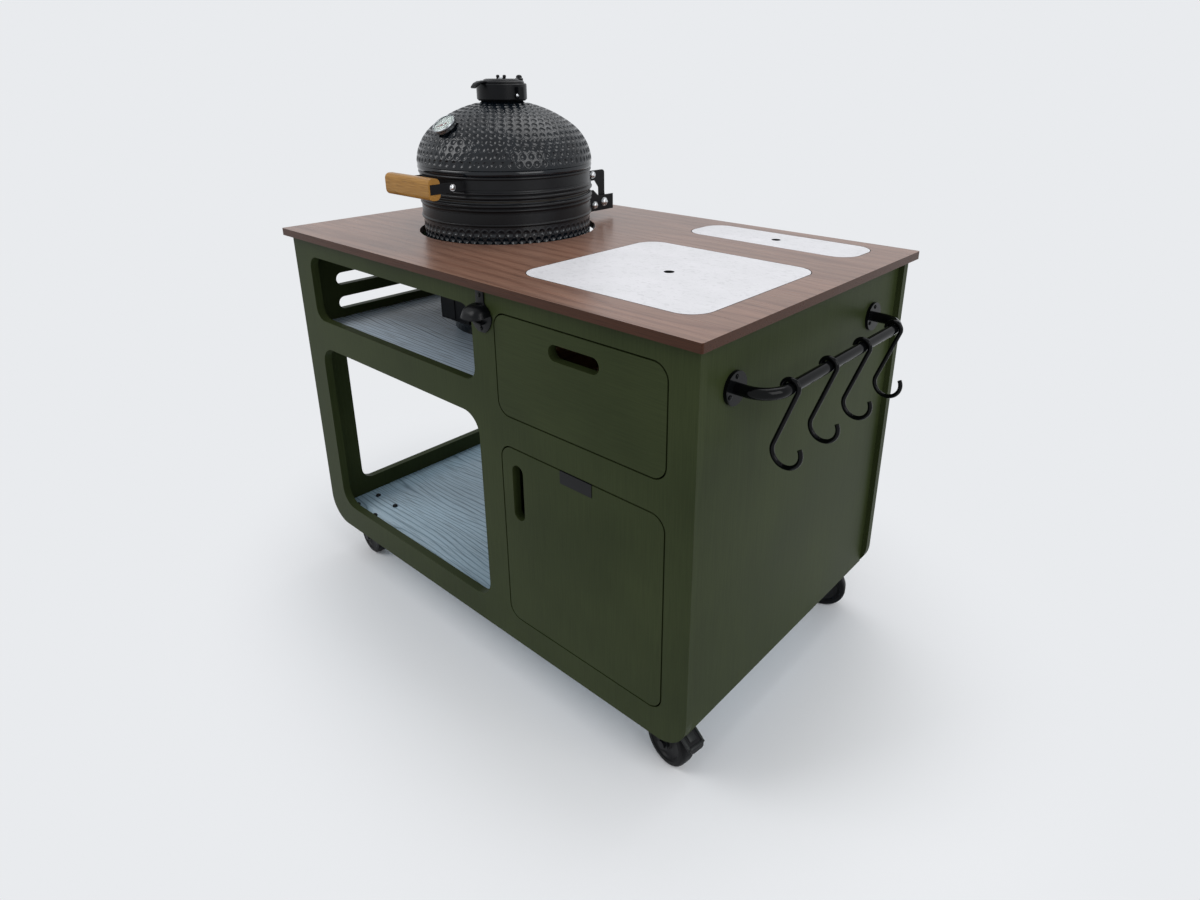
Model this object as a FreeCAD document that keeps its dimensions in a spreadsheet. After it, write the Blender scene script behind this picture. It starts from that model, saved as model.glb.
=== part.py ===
import FreeCAD, Part
import math
import os
import re
import Sketcher

# Kamado grill table: a wooden cabinet on castors that carries a ceramic kamado in a round hole of its worktop.
# Lengths are in millimetres, angles in degrees. +X is the cabinet's right, -Y its front, +Z up from the floor.
# The origin is on the floor, under the middle of everything that the table reaches.

os.makedirs("parts", exist_ok=True)
doc = FreeCAD.newDocument("kamado_grill_table")
sheet = doc.addObject("Spreadsheet::Sheet", "sizes")

SIZES = {
    # worktop
    "table_length": 1200,
    "table_depth": 756,
    "table_height": 880,
    "top_thickness": 16,
    "top_corner": 4,
    "front_overhang": 17,
    "back_overhang": 17,
    "side_overhang": 14,
    # cabinet boards
    "board": 18,
    "side_recess": 12,
    "castor_height": 132,
    "frame_drop": 24,
    "frame_corner": 65,
    # openings of the front and back frames
    "left_stile": 65,
    "middle_stile": 63,
    "right_stile": 55,
    "right_opening_width": 399,
    "top_rail": 40,
    "upper_opening_height": 152,
    "middle_rail": 69,
    "lower_opening_height": 432,
    "upper_opening_corner": 30,
    "lower_opening_corner": 45,
    "drawer_top_rail": 37,
    "drawer_front_height": 194,
    "drawer_door_rail": 60,
    "door_height": 392,
    "front_gap": 3,
    "front_corner": 27,
    # shelves
    "shelf_drop": 22,
    "deck_drop": 15,
    # left side panel
    "side_opening_length": 570,
    "side_slot_height": 30,
    "side_slot_pitch": 60,
    "side_slot_drop": 118,
    "side_opening_sill": 43,
    "side_opening_head": 47,
    "side_opening_corner": 32,
    # worktop lids
    "lid_width": 406,
    "lid_right_margin": 74,
    "large_lid_front": 86,
    "lid_spacing": 120,
    "small_lid_depth": 127,
    "small_lid_back": 39,
    "lid_corner": 45,
    "lid_thickness": 8,
    "lid_gap": 1.5,
    "lid_ledge": 12,
    "lid_hole": 20,
    # drawer and door
    "drawer_slot_length": 117,
    "slot_width": 30,
    "drawer_slot_drop": 40,
    "door_slot_length": 119,
    "door_slot_inset": 42,
    "door_slot_drop": 91.5,
    "drawer_wall": 12,
    "drawer_floor": 9,
    "drawer_box_depth": 420,
    "drawer_box_height": 118,
    "drawer_box_lift": 12,
    "drawer_side_gap": 11,
    "runner_length": 400,
    "runner_height": 35,
    "runner_width": 12.7,
    "runner_sheet": 1.5,
    "runner_depth": 9,
    "runner_lip": 3,
    "runner_play": 0.4,
    "runner_rise": 45,
    "runner_setback": 5,
    "batten_height": 44,
    "door_pivot_inset": 30,
    "pin_diameter": 8,
    "pin_in_door": 12,
    "pin_in_frame": 9,
    "pin_end_play": 0.5,
    "pin_play": 0.05,
    "clip_width": 77,
    "clip_height": 24,
    "clip_sheet": 1.2,
    "catch_width": 60,
    "catch_depth": 14,
    "catch_height": 46,
    # towel rail and hooks
    "rail_tube": 20,
    "rail_standoff": 67,
    "rail_bend": 45,
    "rail_drop": 111,
    "rail_front": 124,
    "rail_length": 489,
    "flange_diameter": 57,
    "flange_thickness": 6,
    "screw_diameter": 4,
    "screw_head": 8,
    "screw_length": 18,
    "flange_screw_circle": 40,
    "hook_wire": 6.5,
    "hook_play": 0.3,
    "hook_loop_radius": 26.75,
    "hook_loop_drop": 111,
    "hook_loop_shift": 2,
    # bottle opener
    "opener_plate": 3,
    "opener_hood": 32,
    "opener_hood_top": 22.4,
    "opener_hood_low": 12.8,
    "opener_hood_nose": 8,
    "opener_lip": 5,
    "opener_wall": 5,
    "opener_drop": 52,
    "opener_head": 50,
    "opener_neck": 22,
    "opener_body": 30,
    "opener_tail": 32,
    "opener_screw_high": 38,
    "opener_screw_low": 25,
    # castors
    "castor_side_inset": 94,
    "castor_end_inset": 63,
    "castor_plate_length": 105,
    "castor_plate_width": 80,
    "castor_hole_long": 80,
    "castor_hole_short": 60,
    "castor_plate": 3,
    "castor_bolt": 8,
    "bolt_play": 0.4,
    "bolt_head": 13,
    "bolt_head_height": 5.5,
    "nut_height": 6.5,
    "wheel_diameter": 100,
    "wheel_width": 32,
    "castor_trail": 30,
    "fork_sheet": 3,
    "fork_play": 1.5,
    "race_height": 8,
    "race_chamfer": 3,
    "crown_radius": 33,
    "cheek_top": 26,
    "cheek_skirt": 22,
    "axle_diameter": 10,
    "kingpin_diameter": 12,
    "hub_radius": 13,
    "tyre_round": 6,
    "brake_pin": 6,
    "brake_rise": 106,
    "brake_set": 20,
    "brake_sheet": 5,
    "brake_width": 30,
    "brake_knee": 34,
    "brake_knee_drop": 6,
    "pedal_width": 38,
    "pedal_start": 20,
    "pedal_tip": 66,
    "pedal_drop": 27,
    # kamado
    "kamado_x": -225,
    "kamado_y": -13,
    "kamado_hole": 406,
    "foot_radius": 140,
    "foot_height": 14,
    "body_radius": 190,
    "belly_height": 238,
    "ceramic_wall": 22,
    "base_floor": 30,
    "seam_height": 313.5,
    "gasket_height": 3.7,
    "gasket_width": 18,
    "seat_play": 0.3,
    "band_height": 48,
    "band_sheet": 2,
    "band_play": 0.2,
    "band_setback": 2,
    "bead_height": 5,
    "bead_rise": 1.6,
    "rim_height": 16,
    "groove_height": 4,
    "dome_radius": 196,
    "dome_height": 135.5,
    "dome_shoulder": 105,
    "dome_belt": 58,
    "dome_wall": 20,
    "neck_radius": 44,
    "neck_height": 24,
    "neck_root": 4,
    "chimney_radius": 32,
    "collar_radius": 55,
    "collar_height": 36,
    "collar_chamfer": 4,
    "collar_lug": 9,
    "collar_lug_width": 14,
    "collar_lug_low": 5,
    "collar_lug_height": 24,
    "vent_pivot": 52,
    "vent_ear_width": 18,
    "collar_ear_low": 8,
    "vent_bolt": 6,
    "vent_bolt_grip": 12,
    "vent_bolt_head": 11,
    "vent_bolt_head_height": 4,
    "cap_radius": 50,
    "cap_ear_height": 10,
    "cap_edge": 6,
    "cap_plate": 4,
    "cap_hub": 8,
    "cap_hub_head": 13,
    "cap_hub_height": 12,
    "cap_hub_cap": 2.4,
    "cap_tab": 30,
    "cap_tab_width": 18,
    "cap_tab_drop": 10,
    "daisy_radius": 40,
    "daisy_thickness": 5,
    "daisy_edge": 2,
    "daisy_knob": 7.5,
    "daisy_knob_height": 8,
    "daisy_knob_place": 11,
    "daisy_hole": 14,
    "daisy_hole_circle": 26,
    "bezel_radius": 27,
    "bezel_height": 14,
    "bezel_lip": 3.5,
    "dial_depth": 5,
    "needle_length": 19,
    "needle_tail": 6,
    "needle_width": 5.2,
    "needle_sheet": 0.8,
    "probe_diameter": 8,
    "probe_length": 60,
    "stem_play": 0.2,
    "handle_reach": 252,
    "handle_length": 153,
    "handle_height": 44,
    "handle_thickness": 28,
    "handle_corner": 11,
    "strap_height": 20,
    "strap_sheet": 3,
    "handle_rise": 31.5,
    "strap_start": 34,
    "strap_end": 10,
    "handle_bolt_turn": 15.4,
    "strap_bolt": 6,
    "strap_bolt_head": 13,
    "strap_bolt_head_height": 5,
    "strap_play": 0.1,
    "hinge_reach": 250,
    "hinge_drop": 51.5,
    "hinge_pin": 10,
    "hinge_half_width": 74,
    "hinge_sheet": 3,
    "hinge_low": 20,
    "hinge_ledge": 17,
    "hinge_high": 32,
    "hinge_tail": 33,
    "hinge_throat": 20,
    "hinge_nose": 38,
    "hinge_bolt": 8,
    "hinge_bolt_back": 34,
    "hinge_bolt_drop": 5,
    "knuckle_radius": 12,
    "lid_arm_step": 36,
    "lid_arm_low": 54,
    "lid_arm_high": 78,
    "lid_arm_corner": 8,
    "lid_arm_throat": 26,
    "lid_bolt_back": 35,
    "lid_bolt_rise": 68,
    "spring_start": 22,
    "spring_wire": 3.4,
    "spring_sleeve": 2.4,
    "spring_play": 0.4,
    "firebox_wall": 14,
    "firebox_play": 6,
    "firebox_room": 10,
    "firebox_drop": 12,
    "grate_ledge": 66,
    "grate_ledge_width": 22,
    "grate_thickness": 6,
    "grate_slot": 10,
    "ash_mouth": 48,
    "grid_radius": 152,
    "grid_ring": 6,
    "grid_bar": 4,
    "grid_pitch": 24,
    "draft_width": 100,
    "draft_height": 60,
    "draft_sill": 38,
    "draft_sheet": 3,
    "draft_depth": 40,
    "draft_reach": 172,
    "draft_plate": 1.5,
    "draft_play": 0.25,
    "draft_knob": 8,
    "draft_knob_length": 12,
}

# Places and sizes that follow from the ones above, each a formula of size names.
FORMULAS = {
    "table_x": "(table_length / 2 - reach_right) / 2",
    "reach_right": "side_out + rail_standoff + hook_loop_shift + hook_loop_radius + hook_wire / 2",
    "table_y": "(reach_front - table_depth / 2) / 2",
    "reach_front": "opener_plate + opener_hood - front_face",
    "top_under": "table_height - top_thickness",
    "half_frame": "table_length / 2 - side_overhang",
    "front_face": "front_overhang - table_depth / 2",
    "back_face": "table_depth / 2 - back_overhang",
    "inner_front": "front_face + board",
    "inner_depth": "back_face - front_face - 2 * board",
    "side_out": "half_frame - side_recess",
    "side_in": "side_out - board",
    "frame_bottom": "castor_height - frame_drop",
    "bay_left": "left_stile - half_frame",
    "bay_right": "half_frame - right_stile - right_opening_width - middle_stile",
    "right_open_left": "bay_right + middle_stile",
    "right_open_right": "half_frame - right_stile",
    "upper_high": "top_under - top_rail",
    "upper_low": "upper_high - upper_opening_height",
    "lower_high": "upper_low - middle_rail",
    "lower_low": "lower_high - lower_opening_height",
    "drawer_open_high": "top_under - drawer_top_rail",
    "drawer_open_low": "drawer_open_high - drawer_front_height - 2 * front_gap",
    "door_open_high": "drawer_open_low - drawer_door_rail",
    "door_open_low": "door_open_high - door_height - 2 * front_gap",
    "front_left": "right_open_left + front_gap",
    "front_right": "right_open_right - front_gap",
    "front_middle": "(front_left + front_right) / 2",
    "opening_corner": "front_corner + front_gap",
    "divider_right": "right_open_left + drawer_side_gap - runner_width",
    "divider_left": "divider_right - board",
    "shelf_top": "upper_low - shelf_drop",
    "deck_top": "drawer_open_low - deck_drop",
    "floor_top": "castor_height + board",
    "lid_right": "table_length / 2 - lid_right_margin",
    "lid_middle": "lid_right - lid_width / 2",
    "large_lid_depth": "table_depth - large_lid_front - lid_spacing - small_lid_depth - small_lid_back",
    "large_lid_middle": "large_lid_front + large_lid_depth / 2 - table_depth / 2",
    "small_lid_middle": "table_depth / 2 - small_lid_back - small_lid_depth / 2",
    "rail_height": "table_height - rail_drop",
    "rail_start": "rail_front - table_depth / 2",
    "rail_x": "side_out + rail_standoff",
    "castor_x": "side_out - castor_side_inset",
    "castor_y": "back_face - castor_end_inset",
    "seam_z": "shelf_top + seam_height",
    "rim_z": "seam_z + gasket_height + seat_play",
    "dome_base": "rim_z + dome_belt",
    "neck_top": "dome_base + dome_height + neck_height",
    "band_inside": "body_radius + band_play",
    "band_radius": "band_inside + band_sheet",
    "band_outside": "band_radius + bead_rise",
    "belly_radius": "((body_radius - foot_radius) ^ 2 + (belly_height - foot_height) ^ 2)"
                    " / (2 * (body_radius - foot_radius))",
    "liner_radius": "((body_radius - foot_radius) ^ 2 + (belly_height - base_floor) ^ 2)"
                    " / (2 * (body_radius - foot_radius))",
    "crown_radius_out": "((dome_radius - dome_shoulder) ^ 2 + dome_height ^ 2 - dome_shoulder ^ 2)"
                      " / (2 * (dome_height - dome_shoulder))",
    "shoulder_side": "dome_radius - dome_shoulder",
    "lean_out": "shoulder_side / (crown_radius_out - dome_shoulder)",
    "lean_up": "(crown_radius_out - dome_height) / (crown_radius_out - dome_shoulder)",
    "crown_centre": "dome_belt + dome_height - crown_radius_out",
    "shoulder_x": "shoulder_side + dome_shoulder * lean_out",
    "shoulder_z": "dome_belt + dome_shoulder * lean_up",
    "liner_shoulder_x": "shoulder_side + (dome_shoulder - dome_wall) * lean_out",
    "liner_shoulder_z": "dome_belt + (dome_shoulder - dome_wall) * lean_up",
    "hinge_z": "rim_z - hinge_drop",
    "castor_race_low": "castor_height - castor_plate - race_height",
    "crown_high": "castor_race_low - seat_play",
    "crown_low": "crown_high - fork_sheet",
    "cheek_inside": "wheel_width / 2 + fork_play",
    "axle_z": "wheel_diameter / 2",
    "drawer_box_low": "drawer_open_low + front_gap + drawer_box_lift",
    "runner_z": "drawer_box_low + runner_rise",
    "drawer_top": "drawer_open_high - front_gap",
    "door_top": "door_open_high - front_gap",
    "door_bottom": "door_open_low + front_gap",
    "door_pivot_x": "front_right - door_pivot_inset",
    "opener_z": "top_under - opener_drop",
    "stile_middle": "(bay_right + right_open_left) / 2",
    "handle_z": "rim_z + handle_rise",
    "collar_low": "dome_base + dome_height - 1",
    "cap_low": "collar_low + collar_height + seat_play",
    "strap_inside": "band_radius + strap_play",
    "strap_outside": "strap_inside + strap_sheet",
    "foot_inside": "foot_radius - ceramic_wall",
    "firebox_foot": "foot_inside - firebox_play",
    "firebox_mouth": "body_radius - ceramic_wall - firebox_room",
}


def expand(text):
    """A formula with every size name replaced by its cell or its own formula."""
    words = re.split(r"([a-z][a-z_]*)", str(text))
    for place, word in enumerate(words):
        if word in FORMULAS:
            words[place] = "(" + expand(FORMULAS[word]) + ")"
        elif word in SIZES:
            words[place] = "sizes." + word
    return "".join(words)


def value(text):
    """The number that a formula gives now."""
    return float(sheet.evalExpression(expand(text)))


def bind(item, path, text):
    item.setExpression(path, expand(text))


for row, (word, number) in enumerate(SIZES.items(), 1):
    sheet.set("A%d" % row, word)
    sheet.set("B%d" % row, str(number))
    sheet.setAlias("B%d" % row, word)
doc.recompute()

nodes = []
cuts = []


# Bodies, sketches and features

def new_body(label, x="0", y="0", z="0", turn=0.0, about=(0, 0, 1), is_node=True):
    """A body placed from the middle of the table's footprint, turned by some degrees about an axis."""
    body = doc.addObject("PartDesign::Body", label)
    body.Label = label
    body.Placement = FreeCAD.Placement(FreeCAD.Vector(), FreeCAD.Rotation(FreeCAD.Vector(*about), turn))
    bind(body, ".Placement.Base.x", "table_x + %s" % x)
    bind(body, ".Placement.Base.y", "table_y + %s" % y)
    bind(body, ".Placement.Base.z", z)
    if is_node:
        nodes.append(body)
    return body


def new_sketch(body, plane, offset="0"):
    """A sketch parallel to one of the body's own planes, moved along that plane's normal."""
    sketch = body.newObject("Sketcher::SketchObject", body.Name + "_sketch")
    origin_plane = [item for item in body.Origin.OriginFeatures if item.Role == plane][0]
    sketch.AttachmentSupport = [(origin_plane, "")]
    sketch.MapMode = "FlatFace"
    bind(sketch, ".AttachmentOffset.Base.z", offset)
    return sketch


def constrain(sketch, kind, geometry, point, text):
    """A dimension from the sketch's origin, or a radius, that follows a formula."""
    if kind == "Radius":
        index = sketch.addConstraint(Sketcher.Constraint("Radius", geometry, value(text)))
    else:
        index = sketch.addConstraint(Sketcher.Constraint(kind, -1, 1, geometry, point, value(text)))
    name = "size_%d" % index
    sketch.renameConstraint(index, name)
    bind(sketch, "Constraints." + name, text)


def line(ax, ay, bx, by):
    return Part.LineSegment(FreeCAD.Vector(ax, ay, 0), FreeCAD.Vector(bx, by, 0))


def arc(cx, cy, radius, start, end):
    """An arc that runs anticlockwise between two angles."""
    circle = Part.Circle(FreeCAD.Vector(cx, cy, 0), FreeCAD.Vector(0, 0, 1), radius)
    return Part.ArcOfCircle(circle, math.radians(start), math.radians(end))


def draw_box(sketch, left, right, low, high, corner=None):
    """A rectangle between four formulas, with its corners rounded where a radius is given."""
    x0, x1, y0, y1 = value(left), value(right), value(low), value(high)
    if corner is None:
        first = sketch.addGeometry([line(x0, y0, x1, y0), line(x1, y0, x1, y1),
                                    line(x1, y1, x0, y1), line(x0, y1, x0, y0)], False)[0]
        sketch.addConstraint([Sketcher.Constraint("Coincident", first + side, 2, first + (side + 1) % 4, 1)
                              for side in range(4)])
        step = 1
    else:
        r = value(corner)
        first = sketch.addGeometry([
            line(x0 + r, y0, x1 - r, y0), arc(x1 - r, y0 + r, r, 270, 360),
            line(x1, y0 + r, x1, y1 - r), arc(x1 - r, y1 - r, r, 0, 90),
            line(x1 - r, y1, x0 + r, y1), arc(x0 + r, y1 - r, r, 90, 180),
            line(x0, y1 - r, x0, y0 + r), arc(x0 + r, y0 + r, r, 180, 270)], False)[0]
        sketch.addConstraint([Sketcher.Constraint("Tangent", first + side, 2, first + (side + 1) % 8, 1)
                              for side in range(8)])
        sketch.addConstraint([Sketcher.Constraint("Equal", first + 1, first + side) for side in (3, 5, 7)])
        constrain(sketch, "Radius", first + 1, 0, corner)
        step = 2
    for side in range(4):
        direction = "Horizontal" if side % 2 == 0 else "Vertical"
        sketch.addConstraint(Sketcher.Constraint(direction, first + side * step))
    constrain(sketch, "DistanceY", first, 1, low)
    constrain(sketch, "DistanceX", first + step, 1, right)
    constrain(sketch, "DistanceY", first + 2 * step, 1, high)
    constrain(sketch, "DistanceX", first + 3 * step, 1, left)


def draw_slot(sketch, x, y, length, width, upright=False):
    """A slot with round ends, its middle at (x, y)."""
    half = "(%s - %s) / 2" % (length, width)
    cx, cy, reach, r = value(x), value(y), value(half), value(width) / 2
    if upright:
        shapes = [arc(cx, cy + reach, r, 0, 180), line(cx - r, cy + reach, cx - r, cy - reach),
                  arc(cx, cy - reach, r, 180, 360), line(cx + r, cy - reach, cx + r, cy + reach)]
        ends = [(x, "%s + %s" % (y, half)), (x, "%s - %s" % (y, half))]
    else:
        shapes = [arc(cx - reach, cy, r, 90, 270), line(cx - reach, cy - r, cx + reach, cy - r),
                  arc(cx + reach, cy, r, -90, 90), line(cx + reach, cy + r, cx - reach, cy + r)]
        ends = [("%s - %s" % (x, half), y), ("%s + %s" % (x, half), y)]
    first = sketch.addGeometry(shapes, False)[0]
    sketch.addConstraint([Sketcher.Constraint("Tangent", first + side, 2, first + (side + 1) % 4, 1)
                          for side in range(4)])
    constrain(sketch, "Radius", first, 0, "%s / 2" % width)
    for geometry, (end_x, end_y) in zip((first, first + 2), ends):
        constrain(sketch, "DistanceX", geometry, 3, end_x)
        constrain(sketch, "DistanceY", geometry, 3, end_y)


def draw_circle(sketch, x, y, diameter):
    centre = FreeCAD.Vector(value(x), value(y), 0)
    circle = sketch.addGeometry(Part.Circle(centre, FreeCAD.Vector(0, 0, 1), value(diameter) / 2), False)
    constrain(sketch, "DistanceX", circle, 3, x)
    constrain(sketch, "DistanceY", circle, 3, y)
    constrain(sketch, "Radius", circle, 0, "(%s) / 2" % diameter)


def bent_edge(ax, ay, bx, by, radius, side):
    """The arc of a radius from a to b that bulges to the left (side 1) or right (side -1) of the way."""
    middle_x, middle_y = (ax + bx) / 2, (ay + by) / 2
    chord = math.hypot(bx - ax, by - ay)
    rise = math.sqrt(max(radius * radius - chord * chord / 4, 0.0))
    normal_x, normal_y = (by - ay) / chord * side, (ax - bx) / chord * side
    cx, cy = middle_x + normal_x * rise, middle_y + normal_y * rise
    start = math.degrees(math.atan2(ay - cy, ax - cx))
    end = math.degrees(math.atan2(by - cy, bx - cx))
    if side > 0:
        return arc(cx, cy, radius, end, start if start > end else start + 360)
    return arc(cx, cy, radius, start, end if end > start else end + 360)


def draw_outline(sketch, points, is_open=False):
    """A line through points (x, y), or arcs where a point also has a radius and a side to bulge to.

    Side 1 bulges to the left of the way from the point before, side -1 to its right.
    """
    places = [(value(point[0]), value(point[1])) for point in points]
    count = len(points)
    joins = []
    shapes = []
    for index in range(1 if is_open else 0, count):
        ax, ay = places[index - 1]
        bx, by = places[index]
        if len(points[index]) == 2:
            shapes.append(line(ax, ay, bx, by))
            joins.append((1, 2))
        else:
            side = points[index][3]
            shapes.append(bent_edge(ax, ay, bx, by, value(points[index][2]), side))
            joins.append((2, 1) if side > 0 else (1, 2))
    first = sketch.addGeometry(shapes, False)[0]
    edges = len(shapes)
    for edge in range(edges - 1 if is_open else edges):
        following = (edge + 1) % edges
        sketch.addConstraint(Sketcher.Constraint("Coincident", first + edge, joins[edge][1],
                                                 first + following, joins[following][0]))
    for edge in range(edges):
        point = points[edge + 1 if is_open else edge]
        constrain(sketch, "DistanceX", first + edge, joins[edge][1], point[0])
        constrain(sketch, "DistanceY", first + edge, joins[edge][1], point[1])
        if len(point) == 4:
            constrain(sketch, "Radius", first + edge, 0, point[2])
    if is_open:
        constrain(sketch, "DistanceX", first, joins[0][0], points[0][0])
        constrain(sketch, "DistanceY", first, joins[0][0], points[0][1])


def round_cap(half_width, rise):
    """The radius of a ball cap from its half width and its rise."""
    return "((%s) ^ 2 + (%s) ^ 2) / (2 * (%s))" % (half_width, rise, rise)


def pad(body, sketch, length, is_reversed=False):
    feature = body.newObject("PartDesign::Pad", body.Name + "_pad")
    feature.Profile = sketch
    bind(feature, "Length", length)
    feature.Reversed = is_reversed
    return feature


def pocket(body, sketch, length, is_reversed=False):
    feature = body.newObject("PartDesign::Pocket", body.Name + "_pocket")
    feature.Profile = sketch
    bind(feature, "Length", length)
    feature.Reversed = is_reversed
    cuts.append(feature)
    return feature


def revolve(body, sketch, angle=360, is_reversed=False, axis="V_Axis"):
    feature = body.newObject("PartDesign::Revolution", body.Name + "_revolution")
    feature.Profile = sketch
    feature.ReferenceAxis = (sketch, [axis])
    feature.Angle = angle
    feature.Reversed = is_reversed
    return feature


def sweep(body, profile, path):
    feature = body.newObject("PartDesign::AdditivePipe", body.Name + "_pipe")
    feature.Profile = profile
    feature.Spine = path
    return feature


def repeat_round(body, feature, sketch, count):
    pattern = body.newObject("PartDesign::PolarPattern", body.Name + "_round")
    pattern.Originals = [feature]
    pattern.Axis = (sketch, ["N_Axis"])
    pattern.Angle = 360
    pattern.Occurrences = count
    body.Tip = pattern
    return pattern


def round_edges(body, radius, chosen):
    """A fillet on the edges that a test picks from the body's shape so far."""
    doc.recompute()
    base = body.Tip
    names = ["Edge%d" % (index + 1) for index, edge in enumerate(base.Shape.Edges) if chosen(edge)]
    feature = body.newObject("PartDesign::Fillet", body.Name + "_fillet")
    feature.Base = (base, names)
    bind(feature, "Radius", radius)
    return feature


def group(label, copies):
    """Separate solids that share one node: each copy is a body and a list of places from the table's middle."""
    doc.recompute()
    solids = []
    for master, places in copies:
        shape = master.Shape.copy()
        shape.Placement = FreeCAD.Placement()
        for place in places:
            solid = shape.copy()
            solid.Placement = place
            solids.append(solid)
    node = doc.addObject("Part::Feature", label)
    node.Label = label
    node.Shape = Part.makeCompound(solids)
    node.Placement = FreeCAD.Placement(FreeCAD.Vector(value("table_x"), value("table_y"), 0),
                                       FreeCAD.Rotation())
    nodes.append(node)
    return node


def at(x, y, z, turn=0.0, about=(0, 0, 1)):
    """A place from the middle of the table's footprint."""
    return FreeCAD.Placement(FreeCAD.Vector(value(x), value(y), value(z)),
                             FreeCAD.Rotation(FreeCAD.Vector(*about), turn))


# Screws of the towel rail and the opener

RAIL_ENDS = ("0", "rail_length")
FLANGE_SCREW_TURNS = (90, 210, 330)
OPENER_SCREW_HEIGHTS = ("opener_screw_high", "-opener_screw_low")


def flange_screw(end, turn):
    """Formulas of a flange screw's place along and above the rail's foot."""
    along = "%s + flange_screw_circle / 2 * cos(%d)" % (end, turn)
    return along, "flange_screw_circle / 2 * sin(%d)" % turn


# Cabinet boards

def end_frame(label, face, has_fronts):
    """The front or back board: one sheet with rounded feet and its openings cut out."""
    body = new_body(label, "0", face)
    outline = new_sketch(body, "XZ_Plane")
    draw_outline(outline, [
        ("-half_frame", "top_under"),
        ("-half_frame", "frame_bottom + frame_corner"),
        ("frame_corner - half_frame", "frame_bottom", "frame_corner", -1),
        ("half_frame - frame_corner", "frame_bottom"),
        ("half_frame", "frame_bottom + frame_corner", "frame_corner", -1),
        ("half_frame", "top_under")])
    pad(body, outline, "board", is_reversed=True)
    openings = new_sketch(body, "XZ_Plane")
    draw_box(openings, "bay_left", "bay_right", "upper_low", "upper_high", "upper_opening_corner")
    draw_box(openings, "bay_left", "bay_right", "lower_low", "lower_high", "lower_opening_corner")
    if has_fronts:
        draw_box(openings, "right_open_left", "right_open_right",
                 "drawer_open_low", "drawer_open_high", "opening_corner")
        draw_box(openings, "right_open_left", "right_open_right",
                 "door_open_low", "door_open_high", "opening_corner")
    pocket(body, openings, "board")
    return body


def front_frame():
    body = end_frame("front_frame", "front_face", True)
    for offset, is_upward in (("door_open_high - front_gap", True), ("door_open_low + front_gap", False)):
        bore = new_sketch(body, "XY_Plane", offset)
        draw_circle(bore, "door_pivot_x", "board / 2", "pin_diameter + 2 * pin_play")
        pocket(body, bore, "front_gap + pin_in_frame + pin_end_play", is_upward)
    pilots = new_sketch(body, "XZ_Plane")
    for height in OPENER_SCREW_HEIGHTS:
        draw_circle(pilots, "stile_middle", "opener_z + (%s)" % height, "screw_diameter + bolt_play")
    pocket(body, pilots, "screw_length - opener_plate + bolt_play")


def right_side_panel():
    body = new_body("right_side_panel", "side_in")
    outline = new_sketch(body, "YZ_Plane")
    draw_box(outline, "inner_front", "inner_front + inner_depth", "castor_height", "top_under")
    pad(body, outline, "board")
    pilots = new_sketch(body, "YZ_Plane", "board")
    for end in RAIL_ENDS:
        for turn in FLANGE_SCREW_TURNS:
            along, up = flange_screw(end, turn)
            draw_circle(pilots, "rail_start + " + along, "rail_height + " + up, "screw_diameter + bolt_play")
    pocket(body, pilots, "screw_length - flange_thickness + bolt_play")


def left_side_panel():
    body = new_body("left_side_panel", "-side_out")
    outline = new_sketch(body, "YZ_Plane")
    draw_box(outline, "inner_front", "inner_front + inner_depth", "castor_height", "top_under")
    pad(body, outline, "board")
    openings = new_sketch(body, "YZ_Plane")
    for row in range(2):
        draw_slot(openings, "0", "top_under - side_slot_drop - %d * side_slot_pitch" % row,
                  "side_opening_length", "side_slot_height")
    draw_box(openings, "-side_opening_length / 2", "side_opening_length / 2",
             "floor_top + side_opening_sill", "shelf_top - board - side_opening_head", "side_opening_corner")
    pocket(body, openings, "board", is_reversed=True)


def divider_panel():
    body = new_body("divider_panel", "divider_left")
    outline = new_sketch(body, "YZ_Plane")
    draw_box(outline, "inner_front", "inner_front + inner_depth", "floor_top", "top_under")
    pad(body, outline, "board")


def shelf_board(label, left, right, low):
    body = new_body(label, z=low)
    outline = new_sketch(body, "XY_Plane")
    draw_box(outline, left, right, "inner_front", "inner_front + inner_depth")
    pad(body, outline, "board")
    return body


def castor_places():
    """The signs of the four corners with their names and the way that each castor trails."""
    return (("front_right", 1, -1, -8.0), ("front_left", -1, -1, 176.0),
            ("back_right", 1, 1, 22.0), ("back_left", -1, 1, 158.0))


def bolt_corners():
    return [(side, end) for side in (-1, 1) for end in (-1, 1)]


def bottom_shelf():
    body = shelf_board("bottom_shelf", "-side_in", "side_in", "castor_height")
    holes = new_sketch(body, "XY_Plane")
    for _, side, end, _ in castor_places():
        for across, along in bolt_corners():
            draw_circle(holes, "%d * castor_x + %d * castor_hole_long / 2" % (side, across),
                        "%d * castor_y + %d * castor_hole_short / 2" % (end, along), "castor_bolt + bolt_play")
    pocket(body, holes, "board", is_reversed=True)


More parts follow.
